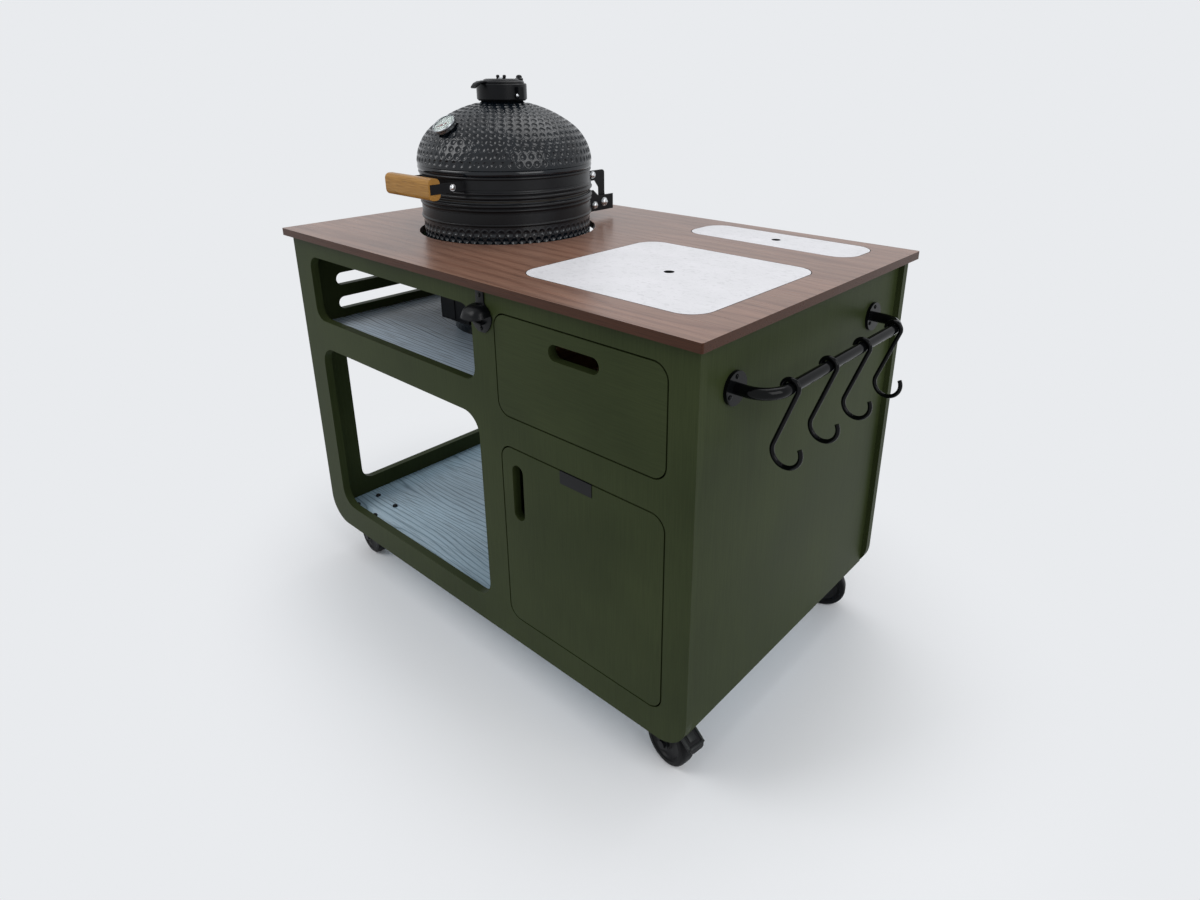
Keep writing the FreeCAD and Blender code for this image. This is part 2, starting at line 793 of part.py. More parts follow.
def tabletop():
    body = new_body("tabletop", z="top_under")
    outline = new_sketch(body, "XY_Plane")
    draw_box(outline, "-table_length / 2", "table_length / 2", "-table_depth / 2", "table_depth / 2",
             "top_corner")
    draw_circle(outline, "kamado_x", "kamado_y", "kamado_hole")
    pad(body, outline, "top_thickness")
    rebates = new_sketch(body, "XY_Plane", "top_thickness")
    wells = new_sketch(body, "XY_Plane", "top_thickness - lid_thickness")
    for middle, depth in (("large_lid_middle", "large_lid_depth"), ("small_lid_middle", "small_lid_depth")):
        draw_box(rebates, "lid_middle - lid_width / 2 - lid_gap", "lid_middle + lid_width / 2 + lid_gap",
                 "%s - %s / 2 - lid_gap" % (middle, depth), "%s + %s / 2 + lid_gap" % (middle, depth),
                 "lid_corner + lid_gap")
        draw_box(wells, "lid_middle - lid_width / 2 + lid_ledge", "lid_middle + lid_width / 2 - lid_ledge",
                 "%s - %s / 2 + lid_ledge" % (middle, depth), "%s + %s / 2 - lid_ledge" % (middle, depth),
                 "lid_corner - lid_ledge")
    pocket(body, rebates, "lid_thickness")
    pocket(body, wells, "top_thickness - lid_thickness")


def worktop_lid(label, middle, depth):
    """A flush lid with a finger hole, lying on the ledge of its rebate."""
    body = new_body(label, "lid_middle", middle, "table_height - lid_thickness")
    outline = new_sketch(body, "XY_Plane")
    draw_box(outline, "-lid_width / 2", "lid_width / 2", "-%s / 2" % depth, "%s / 2" % depth, "lid_corner")
    draw_circle(outline, "0", "0", "lid_hole")
    pad(body, outline, "lid_thickness")


# Drawer and door

def drawer_front():
    body = new_body("drawer_front", "0", "front_face")
    outline = new_sketch(body, "XZ_Plane")
    draw_box(outline, "front_left", "front_right", "drawer_open_low + front_gap", "drawer_top", "front_corner")
    draw_slot(outline, "front_middle", "drawer_top - drawer_slot_drop", "drawer_slot_length", "slot_width")
    pad(body, outline, "board", is_reversed=True)


def drawer_box():
    body = new_body("drawer_box", "0", "inner_front", "drawer_box_low")
    left, right = "right_open_left + drawer_side_gap", "right_open_right - drawer_side_gap"
    outline = new_sketch(body, "XY_Plane")
    draw_box(outline, left, right, "0", "drawer_box_depth")
    pad(body, outline, "drawer_box_height")
    hollow = new_sketch(body, "XY_Plane", "drawer_box_height")
    draw_box(hollow, left + " + drawer_wall", right + " - drawer_wall",
             "drawer_wall", "drawer_box_depth - drawer_wall")
    pocket(body, hollow, "drawer_box_height - drawer_floor")


def runner_walls():
    """Where each runner's back lies, and the way that it faces."""
    return (("divider_right", 1), ("right_open_right - drawer_side_gap + runner_width", -1))


def runner_rails(label, points):
    """A pair of rolled rails of one section, on the left and the right of the drawer."""
    body = new_body(label, "0", "inner_front + runner_setback", "runner_z")
    section = new_sketch(body, "XZ_Plane")
    for wall, way in runner_walls():
        draw_outline(section, [("%s + %d * (%s)" % (wall, way, out), up) for out, up in points])
    pad(body, section, "runner_length", is_reversed=True)


def runner_outer_rails():
    half, lip = "runner_height / 2", "runner_height / 2 - runner_sheet - runner_lip"
    runner_rails("runner_outer_rails", [
        ("0", "-" + half), ("runner_depth", "-" + half), ("runner_depth", "-(%s)" % lip),
        ("runner_depth - runner_sheet", "-(%s)" % lip),
        ("runner_depth - runner_sheet", "runner_sheet - " + half), ("runner_sheet", "runner_sheet - " + half),
        ("runner_sheet", half + " - runner_sheet"), ("runner_depth - runner_sheet", half + " - runner_sheet"),
        ("runner_depth - runner_sheet", lip), ("runner_depth", lip), ("runner_depth", half), ("0", half)])


def runner_inner_rails():
    web = "runner_height / 2 - runner_sheet - runner_lip - runner_play"
    bead = "runner_height / 2 - runner_sheet - runner_play"
    near, far = "runner_sheet + 2 * runner_play", "runner_depth - runner_sheet - runner_play"
    runner_rails("runner_inner_rails", [
        ("runner_width", "-(%s)" % web), (far, "-(%s)" % web), (far, "-(%s)" % bead), (near, "-(%s)" % bead),
        (near, "runner_sheet - (%s)" % web), ("runner_width - runner_sheet", "runner_sheet - (%s)" % web),
        ("runner_width - runner_sheet", "%s - runner_sheet" % web), (near, "%s - runner_sheet" % web),
        (near, bead), (far, bead), (far, web), ("runner_width", web)])


def runner_batten():
    """The strip of wood that brings the right runner out from the side panel."""
    body = new_body("runner_batten", "0", "inner_front + runner_setback", "runner_z")
    section = new_sketch(body, "XZ_Plane")
    draw_box(section, "right_open_right - drawer_side_gap + runner_width", "side_in",
             "-batten_height / 2", "batten_height / 2")
    pad(body, section, "runner_length", is_reversed=True)


def door_panel():
    body = new_body("door_panel", "0", "front_face")
    outline = new_sketch(body, "XZ_Plane")
    draw_box(outline, "front_left", "front_right", "door_bottom", "door_top", "front_corner")
    draw_slot(outline, "front_left + door_slot_inset", "door_top - door_slot_drop",
              "door_slot_length", "slot_width", upright=True)
    pad(body, outline, "board", is_reversed=True)
    for offset, is_upward in (("door_top", False), ("door_bottom", True)):
        bore = new_sketch(body, "XY_Plane", offset)
        draw_circle(bore, "door_pivot_x", "board / 2", "pin_diameter")
        pocket(body, bore, "pin_in_door", is_upward)


def door_pins():
    """Two pivot pins pressed into the door's edges and turning in bores of the front frame."""
    body = new_body("door_pins", "door_pivot_x", "front_face + board / 2")
    for low in ("door_top - pin_in_door", "door_open_low - pin_in_frame"):
        section = new_sketch(body, "XY_Plane", low)
        draw_circle(section, "0", "0", "pin_diameter")
        pad(body, section, "pin_in_door + front_gap + pin_in_frame")


def door_clip():
    """A bent steel clip over the middle of the door's top edge, which the catch holds by its back leg."""
    body = new_body("door_clip", "front_middle - clip_width / 2", "front_face")
    outline = new_sketch(body, "YZ_Plane")
    draw_outline(outline, [
        ("-clip_sheet", "door_top + clip_sheet"), ("-clip_sheet", "door_top - clip_height"),
        ("0", "door_top - clip_height"), ("0", "door_top"), ("board", "door_top"),
        ("board", "door_top - clip_height"), ("board + clip_sheet", "door_top - clip_height"),
        ("board + clip_sheet", "door_top + clip_sheet")])
    pad(body, outline, "clip_width")


def door_catch():
    """The magnetic catch behind the rail above the door."""
    body = new_body("door_catch", "front_middle - catch_width / 2", "front_face")
    outline = new_sketch(body, "YZ_Plane")
    face = "board + clip_sheet + seat_play"
    draw_outline(outline, [
        ("board", "door_open_high + catch_height / 2"), ("board", "door_open_high + front_gap"),
        (face, "door_open_high + front_gap"), (face, "door_open_high - catch_height / 2"),
        ("board + catch_depth", "door_open_high - catch_height / 2"),
        ("board + catch_depth", "door_open_high + catch_height / 2")])
    pad(body, outline, "catch_width")


# Towel rail, hooks, opener and the screws that hold them

def towel_rail():
    body = new_body("towel_rail", "side_out", "rail_start", "rail_height")
    path = new_sketch(body, "XY_Plane")
    draw_outline(path, [
        ("0", "0"), ("rail_standoff - rail_bend", "0"),
        ("rail_standoff", "rail_bend", "rail_bend", -1), ("rail_standoff", "rail_length - rail_bend"),
        ("rail_standoff - rail_bend", "rail_length", "rail_bend", -1), ("0", "rail_length")], is_open=True)
    section = new_sketch(body, "YZ_Plane")
    draw_circle(section, "0", "0", "rail_tube")
    sweep(body, section, path)
    flanges = new_sketch(body, "YZ_Plane")
    for end in RAIL_ENDS:
        draw_circle(flanges, end, "0", "flange_diameter")
        for turn in FLANGE_SCREW_TURNS:
            along, up = flange_screw(end, turn)
            draw_circle(flanges, along, up, "screw_diameter + bolt_play")
    pad(body, flanges, "flange_thickness")


def hook(label, place):
    """An S-hook bent from one wire: a small loop round the rail and a wide one below it, facing outwards."""
    body = new_body(label, "rail_x", "rail_start + %s" % place, "rail_height")
    near, wide = "(rail_tube / 2 + hook_play + hook_wire / 2)", "hook_loop_radius"
    path = new_sketch(body, "XZ_Plane")
    small, large = value(near), value(wide)
    shift, drop = value("hook_loop_shift"), value("hook_loop_drop")
    lean = math.atan2(-drop, shift) - math.asin((small + large) / math.hypot(shift, drop))
    leave = (-small * math.sin(lean), small * math.cos(lean))
    meet = (shift + large * math.sin(lean), -drop - large * math.cos(lean))
    tip = 28.0
    first = path.addGeometry([
        arc(0, 0, small, math.degrees(math.atan2(leave[1], leave[0])), 180),
        line(leave[0], leave[1], meet[0], meet[1]),
        arc(shift, -drop, large, math.degrees(math.atan2(meet[1] + drop, meet[0] - shift)), 360 + tip)], False)[0]
    path.addConstraint([Sketcher.Constraint("Tangent", first, 1, first + 1, 1),
                        Sketcher.Constraint("Tangent", first + 1, 2, first + 2, 1)])
    constrain(path, "DistanceX", first, 3, "0")
    constrain(path, "DistanceY", first, 3, "0")
    constrain(path, "DistanceX", first + 2, 3, "hook_loop_shift")
    constrain(path, "DistanceY", first + 2, 3, "-hook_loop_drop")
    constrain(path, "Radius", first, 0, near)
    constrain(path, "Radius", first + 2, 0, wide)
    constrain(path, "DistanceY", first, 2, "0")
    constrain(path, "DistanceY", first + 2, 2, "hook_loop_radius * sin(%s) - hook_loop_drop" % tip)
    section = new_sketch(body, "XY_Plane")
    draw_circle(section, "-" + near, "0", "hook_wire")
    sweep(body, section, path)


def bottle_opener():
    """A cast opener on the middle stile: a plate with a neck and a tail, a hood and a prying lip."""
    body = new_body("bottle_opener", "stile_middle", "front_face", "opener_z")
    plate = new_sketch(body, "XZ_Plane")
    draw_outline(plate, [
        ("-opener_neck / 2", "opener_head"), ("-opener_neck / 2", "opener_body * 0.7"),
        ("-opener_body", "0", "opener_body * 1.1", -1),
        ("-opener_neck * 0.4", "-opener_tail", "opener_body * 1.3", -1),
        ("opener_neck * 0.4", "-opener_tail"), ("opener_body", "0", "opener_body * 1.3", -1),
        ("opener_neck / 2", "opener_body * 0.7", "opener_body * 1.1", -1), ("opener_neck / 2", "opener_head")])
    for height in OPENER_SCREW_HEIGHTS:
        draw_circle(plate, "0", height, "screw_diameter + bolt_play")
    pad(body, plate, "opener_plate")
    hood = new_sketch(body, "XZ_Plane", "opener_plate")
    draw_outline(hood, [
        ("opener_hood", "-opener_hood_low"),
        ("opener_hood_nose", "opener_hood_top", "opener_hood * 1.1", -1),
        ("opener_hood_nose", "opener_hood_top - opener_wall"),
        ("opener_hood - opener_wall", "-opener_hood_low", "opener_hood * 0.95", 1)])
    revolve(body, hood, 180, is_reversed=True)
    lip = new_sketch(body, "XZ_Plane")
    draw_box(lip, "-opener_neck / 2", "opener_neck / 2", "-opener_hood / 2", "opener_lip - opener_hood / 2")
    pad(body, lip, "opener_plate + 2 * opener_wall")


def wood_screws():
    """Round-headed screws of one size: three in each rail flange and two in the opener."""
    screw = new_body("screw_pattern", is_node=False)
    section = new_sketch(screw, "XZ_Plane")
    draw_outline(section, [
        ("0", "-screw_length"), ("screw_diameter / 2", "-screw_length + screw_diameter / 2"),
        ("screw_diameter / 2", "0"), ("screw_head / 2", "0"),
        ("0", "screw_head * 0.3", round_cap("screw_head / 2", "screw_head * 0.3"), -1)])
    revolve(screw, section)
    places = []
    for end in RAIL_ENDS:
        for turn in FLANGE_SCREW_TURNS:
            along, up = flange_screw(end, turn)
            places.append(at("side_out + flange_thickness", "rail_start + " + along, "rail_height + " + up,
                             90, (0, 1, 0)))
    for height in OPENER_SCREW_HEIGHTS:
        places.append(at("stile_middle", "front_face - opener_plate", "opener_z + (%s)" % height,
                         90, (1, 0, 0)))
    group("wood_screws", [(screw, places)])


# Castors

def castor_plates():
    """Top plates with the fixed half of the swivel race below them."""
    plate = new_body("plate_pattern", is_node=False)
    outline = new_sketch(plate, "XY_Plane")
    draw_box(outline, "-castor_plate_length / 2", "castor_plate_length / 2",
             "-castor_plate_width / 2", "castor_plate_width / 2", "castor_bolt")
    for across, along in bolt_corners():
        draw_circle(outline, "%d * castor_hole_long / 2" % across, "%d * castor_hole_short / 2" % along,
                    "castor_bolt + bolt_play")
    draw_circle(outline, "0", "0", "kingpin_diameter + 2 * pin_play")
    pad(plate, outline, "castor_plate", is_reversed=True)
    race = new_sketch(plate, "XZ_Plane")
    bore = "kingpin_diameter / 2 + pin_play"
    draw_outline(race, [
        (bore, "-castor_plate"), (bore, "-castor_plate - race_height"),
        ("crown_radius - 2 * race_chamfer", "-castor_plate - race_height"),
        ("crown_radius - race_chamfer", "race_chamfer - castor_plate - race_height"),
        ("crown_radius - race_chamfer", "-castor_plate")])
    revolve(plate, race)
    group("castor_plates", [(plate, [at("%d * castor_x" % side, "%d * castor_y" % end, "castor_height")
                                     for _, side, end, _ in castor_places()])])


def castor_bolts():
    """Domed bolts down through the bottom shelf and the plates, with nuts below."""
    bolt = new_body("bolt_pattern", is_node=False)
    section = new_sketch(bolt, "XZ_Plane")
    grip = "board + castor_plate"
    draw_outline(section, [
        ("0", "-%s - nut_height" % grip.replace(" + ", " - ")),
        ("bolt_head / 2", "-%s - nut_height" % grip.replace(" + ", " - ")),
        ("bolt_head / 2", "-%s" % grip.replace(" + ", " - ")),
        ("castor_bolt / 2", "-%s" % grip.replace(" + ", " - ")), ("castor_bolt / 2", "0"),
        ("bolt_head / 2", "0"),
        ("bolt_head / 2", "bolt_head_height / 3"),
        ("0", "bolt_head_height", round_cap("bolt_head / 2", "bolt_head_height * 2 / 3"), -1)])
    revolve(bolt, section)
    places = [at("%d * castor_x + %d * castor_hole_long / 2" % (side, across),
                 "%d * castor_y + %d * castor_hole_short / 2" % (end, along), "floor_top")
              for _, side, end, _ in castor_places() for across, along in bolt_corners()]
    group("castor_bolts", [(bolt, places)])


def castor_fork(name, side, end, turn):
    """The swivelling fork with its kingpin, its axle and the axle's nuts."""
    body = new_body("castor_fork_" + name, "%d * castor_x" % side, "%d * castor_y" % end, turn=turn)
    crown = new_sketch(body, "XY_Plane", "crown_low")
    draw_circle(crown, "0", "0", "2 * crown_radius")
    pad(body, crown, "fork_sheet")
    for offset in ("cheek_inside", "-cheek_inside - fork_sheet"):
        cheek = new_sketch(body, "XZ_Plane", offset)
        draw_outline(cheek, [
            ("-cheek_top", "crown_low"), ("-cheek_top", "crown_low - cheek_skirt / 2"),
            ("castor_trail - hub_radius", "axle_z"), ("castor_trail", "axle_z - hub_radius", "hub_radius", -1),
            ("castor_trail + hub_radius", "axle_z", "hub_radius", -1),
            ("crown_radius", "crown_low - cheek_skirt"), ("cheek_top", "crown_low")])
        draw_circle(cheek, "brake_set", "brake_rise", "brake_pin + 2 * pin_play")
        pad(body, cheek, "fork_sheet")
    kingpin = new_sketch(body, "XY_Plane", "crown_high")
    draw_circle(kingpin, "0", "0", "kingpin_diameter")
    pad(body, kingpin, "castor_height - crown_high - pin_end_play")
    axle = new_sketch(body, "XZ_Plane", "cheek_inside + fork_sheet")
    draw_circle(axle, "castor_trail", "axle_z", "axle_diameter")
    pad(body, axle, "2 * (cheek_inside + fork_sheet)", is_reversed=True)
    for offset, is_inward in (("cheek_inside + fork_sheet", False), ("-cheek_inside - fork_sheet", True)):
        nut = new_sketch(body, "XZ_Plane", offset)
        draw_circle(nut, "castor_trail", "axle_z", "1.7 * axle_diameter")
        pad(body, nut, "axle_diameter / 2", is_reversed=is_inward)


def castor_wheel(name, side, end, turn):
    """A solid tyre on a moulded hub that is dished on both sides."""
    body = new_body("castor_wheel_" + name, "%d * castor_x" % side, "%d * castor_y" % end, turn=turn)
    disc = new_sketch(body, "XZ_Plane", "wheel_width / 2")
    draw_circle(disc, "castor_trail", "axle_z", "wheel_diameter")
    draw_circle(disc, "castor_trail", "axle_z", "axle_diameter + 2 * pin_play")
    pad(body, disc, "wheel_width", is_reversed=True)
    for offset, is_inward in (("wheel_width / 2", False), ("-wheel_width / 2", True)):
        dish = new_sketch(body, "XZ_Plane", offset)
        draw_circle(dish, "castor_trail", "axle_z", "wheel_diameter * 0.74")
        draw_circle(dish, "castor_trail", "axle_z", "wheel_diameter * 0.3")
        pocket(body, dish, "wheel_width / 5", is_inward)
    tyre = value("wheel_diameter / 2")
    round_edges(body, "tyre_round", lambda edge: abs(getattr(edge.Curve, "Radius", 0) - tyre) < 0.01)


def castor_brake(name, side, end, turn):
    """The brake lever: an arm on a pin between the fork's cheeks, and a wide pedal beyond the wheel."""
    body = new_body("brake_pedal_" + name, "%d * castor_x" % side, "%d * castor_y" % end, turn=turn)
    pin = new_sketch(body, "XZ_Plane", "cheek_inside + fork_sheet")
    draw_circle(pin, "brake_set", "brake_rise", "brake_pin")
    pad(body, pin, "2 * (cheek_inside + fork_sheet)", is_reversed=True)
    arm = new_sketch(body, "XZ_Plane", "brake_width / 2")
    knee, knee_low = "castor_trail + brake_knee", "brake_rise - brake_knee_drop"
    draw_outline(arm, [
        ("brake_set - brake_pin", "brake_rise - brake_pin / 2"), (knee, knee_low),
        (knee, knee_low + " + brake_sheet"), ("brake_set - brake_pin", "brake_rise + brake_pin / 2")])
    pad(body, arm, "brake_width", is_reversed=True)
    pedal = new_sketch(body, "XZ_Plane", "pedal_width / 2")
    start, tip = "castor_trail + pedal_start", "castor_trail + pedal_tip"
    draw_outline(pedal, [
        (start, knee_low), (knee, knee_low), (tip, "brake_rise - pedal_drop"),
        (tip + " + brake_sheet / 2", "brake_rise - pedal_drop + brake_sheet"),
        (knee, knee_low + " + 1.5 * brake_sheet"), (start, "brake_rise")])
    pad(body, pedal, "pedal_width", is_reversed=True)


# Kamado

SPRING_TURNS = 9
NUT_WIDTH = 1.9
NUT_HEIGHT = 0.6
LID_ARM_HALF = "hinge_half_width - 2 * hinge_sheet"
COLD_TURN = 125.0
GRATE_ROWS = range(-3, 4)
GRID_ROWS = range(-5, 6)


def ceramic_body(label, z):
    return new_body(label, "kamado_x", "kamado_y", z)


def kamado_base():
    """The lower shell: a foot ring, a belly that widens up to the seam, and a draft opening in front."""
    body = ceramic_body("kamado_base", "shelf_top")
    profile = new_sketch(body, "XZ_Plane")
    draw_outline(profile, [
        ("0", "0"), ("foot_radius", "0"), ("foot_radius", "foot_height"),
        ("body_radius", "belly_height", "belly_radius", -1), ("body_radius", "seam_height"),
        ("body_radius - ceramic_wall", "seam_height"), ("body_radius - ceramic_wall", "belly_height"),
        ("foot_radius - ceramic_wall", "base_floor", "liner_radius", 1), ("0", "base_floor")])
    revolve(body, profile)
    opening = new_sketch(body, "XZ_Plane", "body_radius")
    draw_box(opening, "-draft_width / 2 - seat_play", "draft_width / 2 + seat_play",
             "draft_sill - seat_play", "draft_sill + draft_height + seat_play")
    pocket(body, opening, "body_radius / 2")


def clamp_band(label, level, way):
    """A rolled steel band beside the seam: a raised rim, a groove, a flat strip and a bead at its far edge."""
    body = ceramic_body(label, level)
    profile = new_sketch(body, "XZ_Plane")
    rim = "band_setback + rim_height"
    groove = rim + " + groove_height"
    edge = "band_setback + band_height"

    def up(text):
        return "%d * (%s)" % (way, text)

    draw_outline(profile, [
        ("band_inside", up("band_setback")), ("band_outside", up("band_setback")), ("band_outside", up(rim)),
        ("band_radius - bead_rise / 2", up(rim)), ("band_radius - bead_rise / 2", up(groove)),
        ("band_radius", up(groove)), ("band_radius", up(edge + " - bead_height")),
        ("band_outside", up(edge + " - bead_height / 2"), "bead_height", way * -1),
        ("band_radius", up(edge), "bead_height", way * -1), ("band_inside", up(edge))])
    revolve(body, profile)
    return body


def handle_bolt_holes(body, height):
    """Two radial holes for the bolts that hold the handle's straps to the upper band."""
    for way in (1, -1):
        hole = new_sketch(body, "XZ_Plane")
        hole.AttachmentOffset = FreeCAD.Placement(
            FreeCAD.Vector(), FreeCAD.Rotation(FreeCAD.Vector(0, 1, 0), 1))
        bind(hole, ".AttachmentOffset.Base.z", "0")
        bind(hole, ".AttachmentOffset.Rotation.Angle", "%d * handle_bolt_turn" % way)
        draw_circle(hole, "0", height, "strap_bolt + bolt_play")
        pocket(body, hole, "2 * body_radius", is_reversed=True)


def gasket():
    body = ceramic_body("gasket", "seam_z")
    profile = new_sketch(body, "XZ_Plane")
    draw_box(profile, "body_radius - 1 - gasket_width", "body_radius - 1", "0", "gasket_height")
    revolve(body, profile)


def dome_shell():
    """The lid: a belt beside the seam, a shoulder, a flatter crown and the neck of the chimney."""
    body = ceramic_body("dome_shell", "rim_z")
    profile = new_sketch(body, "XZ_Plane")
    skirt = "band_setback + band_height + 1"
    draw_outline(profile, [
        ("body_radius", "0"), ("body_radius", skirt), ("dome_radius - 2", skirt + " + 2"),
        ("dome_radius", "dome_belt"), ("shoulder_x", "shoulder_z", "dome_shoulder", -1),
        ("neck_radius + neck_root", "crown_centre + sqrt(crown_radius_out ^ 2 - (neck_radius + neck_root) ^ 2)",
         "crown_radius_out", -1),
        ("neck_radius", "dome_belt + dome_height + neck_root / 2"),
        ("neck_radius", "dome_belt + dome_height + neck_height"),
        ("chimney_radius", "dome_belt + dome_height + neck_height"),
        ("chimney_radius", "crown_centre + sqrt((crown_radius_out - dome_wall) ^ 2 - chimney_radius ^ 2)"),
        ("liner_shoulder_x", "liner_shoulder_z", "crown_radius_out - dome_wall", 1),
        ("dome_radius - dome_wall", "dome_belt", "dome_shoulder - dome_wall", 1),
        ("body_radius - dome_wall", "0")])
    revolve(body, profile)
    hole = new_sketch(body, "XY_Plane")
    hole.AttachmentOffset = FreeCAD.Placement(FreeCAD.Vector(), FreeCAD.Rotation(FreeCAD.Vector(1, 0, 0), 1))
    bind(hole, ".AttachmentOffset.Base.y", "-shoulder_x")
    bind(hole, ".AttachmentOffset.Base.z", "shoulder_z")
    bind(hole, ".AttachmentOffset.Rotation.Angle", "asin(lean_out)")
    draw_circle(hole, "0", "0", "probe_diameter + 2 * stem_play")
    pocket(body, hole, "2 * dome_wall")


def handle_straps():
    """Two flat straps bent from the upper band out to the ends of the wooden handle."""
    body = ceramic_body("handle_straps", "handle_z - strap_height / 2")
    section = new_sketch(body, "XY_Plane")
    inner, outer, far = "strap_inside", "strap_outside", "handle_length / 2"
    for way in (1, -1):
        draw_outline(section, [
            ("%d * strap_start" % way, "-sqrt(%s ^ 2 - strap_start ^ 2)" % inner),
            ("%d * %s" % (way, far), "-sqrt(%s ^ 2 - (%s) ^ 2)" % (inner, far), inner, -way),
            ("%d * %s" % (way, far), "-handle_reach - strap_end"),
            ("%d * (%s - strap_sheet)" % (way, far), "-handle_reach - strap_end"),
            ("%d * (%s - strap_sheet)" % (way, far), "-sqrt(%s ^ 2 - (%s - strap_sheet) ^ 2)" % (outer, far)),
            ("%d * strap_start" % way, "-sqrt(%s ^ 2 - strap_start ^ 2)" % outer, outer, way)])
    pad(body, section, "strap_height")
    handle_bolt_holes(body, "strap_height / 2")


def handle_bar():
    """The bamboo bar, rebated at both ends for the straps."""
    body = ceramic_body("handle_bar", "handle_z")
    section = new_sketch(body, "YZ_Plane", "-handle_length / 2")
    draw_box(section, "-handle_reach - handle_thickness / 2", "-handle_reach + handle_thickness / 2",
             "-handle_height / 2", "handle_height / 2", "handle_corner")
    pad(body, section, "handle_length")
    for offset, is_forward in (("-handle_length / 2", True), ("handle_length / 2", False)):
        rebate = new_sketch(body, "YZ_Plane", offset)
        draw_box(rebate, "-handle_reach - strap_end - seat_play", "-handle_reach + handle_thickness / 2 + 1",
                 "-strap_height / 2 - seat_play", "strap_height / 2 + seat_play")
        pocket(body, rebate, "strap_sheet", is_forward)


def hinge_cheeks(body, points, half, web_y, bore, bore_y, bore_z):
    """Two cheeks of one outline joined by a web: padded across, then hollowed before and behind the web."""
    cheek = new_sketch(body, "YZ_Plane", "-(%s)" % half)
    draw_outline(cheek, points)
    pad(body, cheek, "2 * (%s)" % half)
    hollow = new_sketch(body, "XY_Plane", "2 * hinge_reach")
    inside = "(%s - hinge_sheet)" % half
    draw_box(hollow, "-" + inside, inside, "%s + hinge_sheet" % web_y, "2 * hinge_reach")
    draw_box(hollow, "-" + inside, inside, "body_radius / 2", web_y)
    pocket(body, hollow, "4 * hinge_reach")
    hole = new_sketch(body, "YZ_Plane", "-(%s)" % half)
    draw_circle(hole, bore_y, bore_z, bore)
    return hole


def hinge_bracket_lower():
    """The bracket on the lower band: cheeks that reach back to the pin, with a ledge behind it."""
    body = ceramic_body("hinge_bracket_lower", "hinge_z")
    hole = hinge_cheeks(body, [
        ("body_radius - hinge_sheet * 3", "hinge_high"), ("body_radius - hinge_sheet * 3", "-hinge_bolt_drop"),
        ("body_radius + hinge_pin", "-hinge_low"), ("hinge_reach + hinge_tail", "-hinge_low"),
        ("hinge_reach + hinge_tail", "hinge_ledge"), ("hinge_reach - hinge_throat", "hinge_ledge"),
        ("hinge_reach - hinge_nose", "hinge_high")],
        "hinge_half_width", "band_outside + seat_play", "hinge_pin", "hinge_reach", "0")
    draw_circle(hole, "hinge_reach - hinge_bolt_back", "-hinge_bolt_drop", "hinge_bolt")
    pocket(body, hole, "2 * hinge_half_width", True)


def hinge_bracket_upper():
    """The bracket on the upper band: arms that come down over the pin with a round knuckle."""
    body = ceramic_body("hinge_bracket_upper", "hinge_z")
    hole = hinge_cheeks(body, [
        ("body_radius - hinge_bolt_drop", "lid_arm_high"), ("body_radius - hinge_bolt_drop", "lid_arm_low"),
        ("hinge_reach - lid_arm_throat", "lid_arm_low"), ("hinge_reach - knuckle_radius", "lid_arm_step"),
        ("hinge_reach - knuckle_radius", "0"), ("hinge_reach", "-knuckle_radius", "knuckle_radius", -1),
        ("hinge_reach + knuckle_radius", "0", "knuckle_radius", -1),
        ("hinge_reach + lid_arm_corner", "2 * knuckle_radius"),
        ("hinge_reach + lid_arm_corner", "lid_arm_high - lid_arm_corner"),
        ("hinge_reach", "lid_arm_high", "lid_arm_corner", -1)],
        LID_ARM_HALF, "band_outside + seat_play", "hinge_pin + 2 * pin_play", "hinge_reach", "0")
    draw_circle(hole, "hinge_reach - lid_bolt_back", "lid_bolt_rise", "hinge_bolt")
    pocket(body, hole, "2 * hinge_half_width", True)


def cross_bolt(body, y, z, diameter, half):
    """A bolt along X with a round nut at each end, outside a pair of cheeks."""
    shank = new_sketch(body, "YZ_Plane", "-(%s)" % half)
    draw_circle(shank, y, z, diameter)
    pad(body, shank, "2 * (%s)" % half)
    for offset, is_outward in (("-(%s)" % half, True), (half, False)):
        nut = new_sketch(body, "YZ_Plane", offset)
        draw_circle(nut, y, z, "%g * (%s)" % (NUT_WIDTH, diameter))
        pad(body, nut, "%g * (%s)" % (NUT_HEIGHT, diameter), is_outward)


def hinge_hardware():
    """The hinge's pin and lower cross bolt with their nuts, and two coil springs round the pin."""
    body = ceramic_body("hinge_hardware", "hinge_z")
    bind(body, ".Placement.Base.y", "table_y + kamado_y + hinge_reach")
    cross_bolt(body, "0", "0", "hinge_pin", "hinge_half_width")
    cross_bolt(body, "-hinge_bolt_back", "-hinge_bolt_drop", "hinge_bolt", "hinge_half_width")
    coils = new_sketch(body, "XZ_Plane")
    bore, sleeve = "hinge_pin / 2 + spring_play", "hinge_pin / 2 + spring_sleeve"
    for way in (1, -1):
        points = [("%d * spring_start" % way, bore), ("%d * spring_start" % way, sleeve)]
        for turn in range(1, SPRING_TURNS + 1):
            points.append(("%d * (spring_start + %d * spring_wire)" % (way, turn), sleeve,
                           "0.55 * spring_wire", way))
        points.append(("%d * (spring_start + %d * spring_wire)" % (way, SPRING_TURNS), bore))
        draw_outline(coils, points)
    revolve(body, coils, axis="H_Axis")


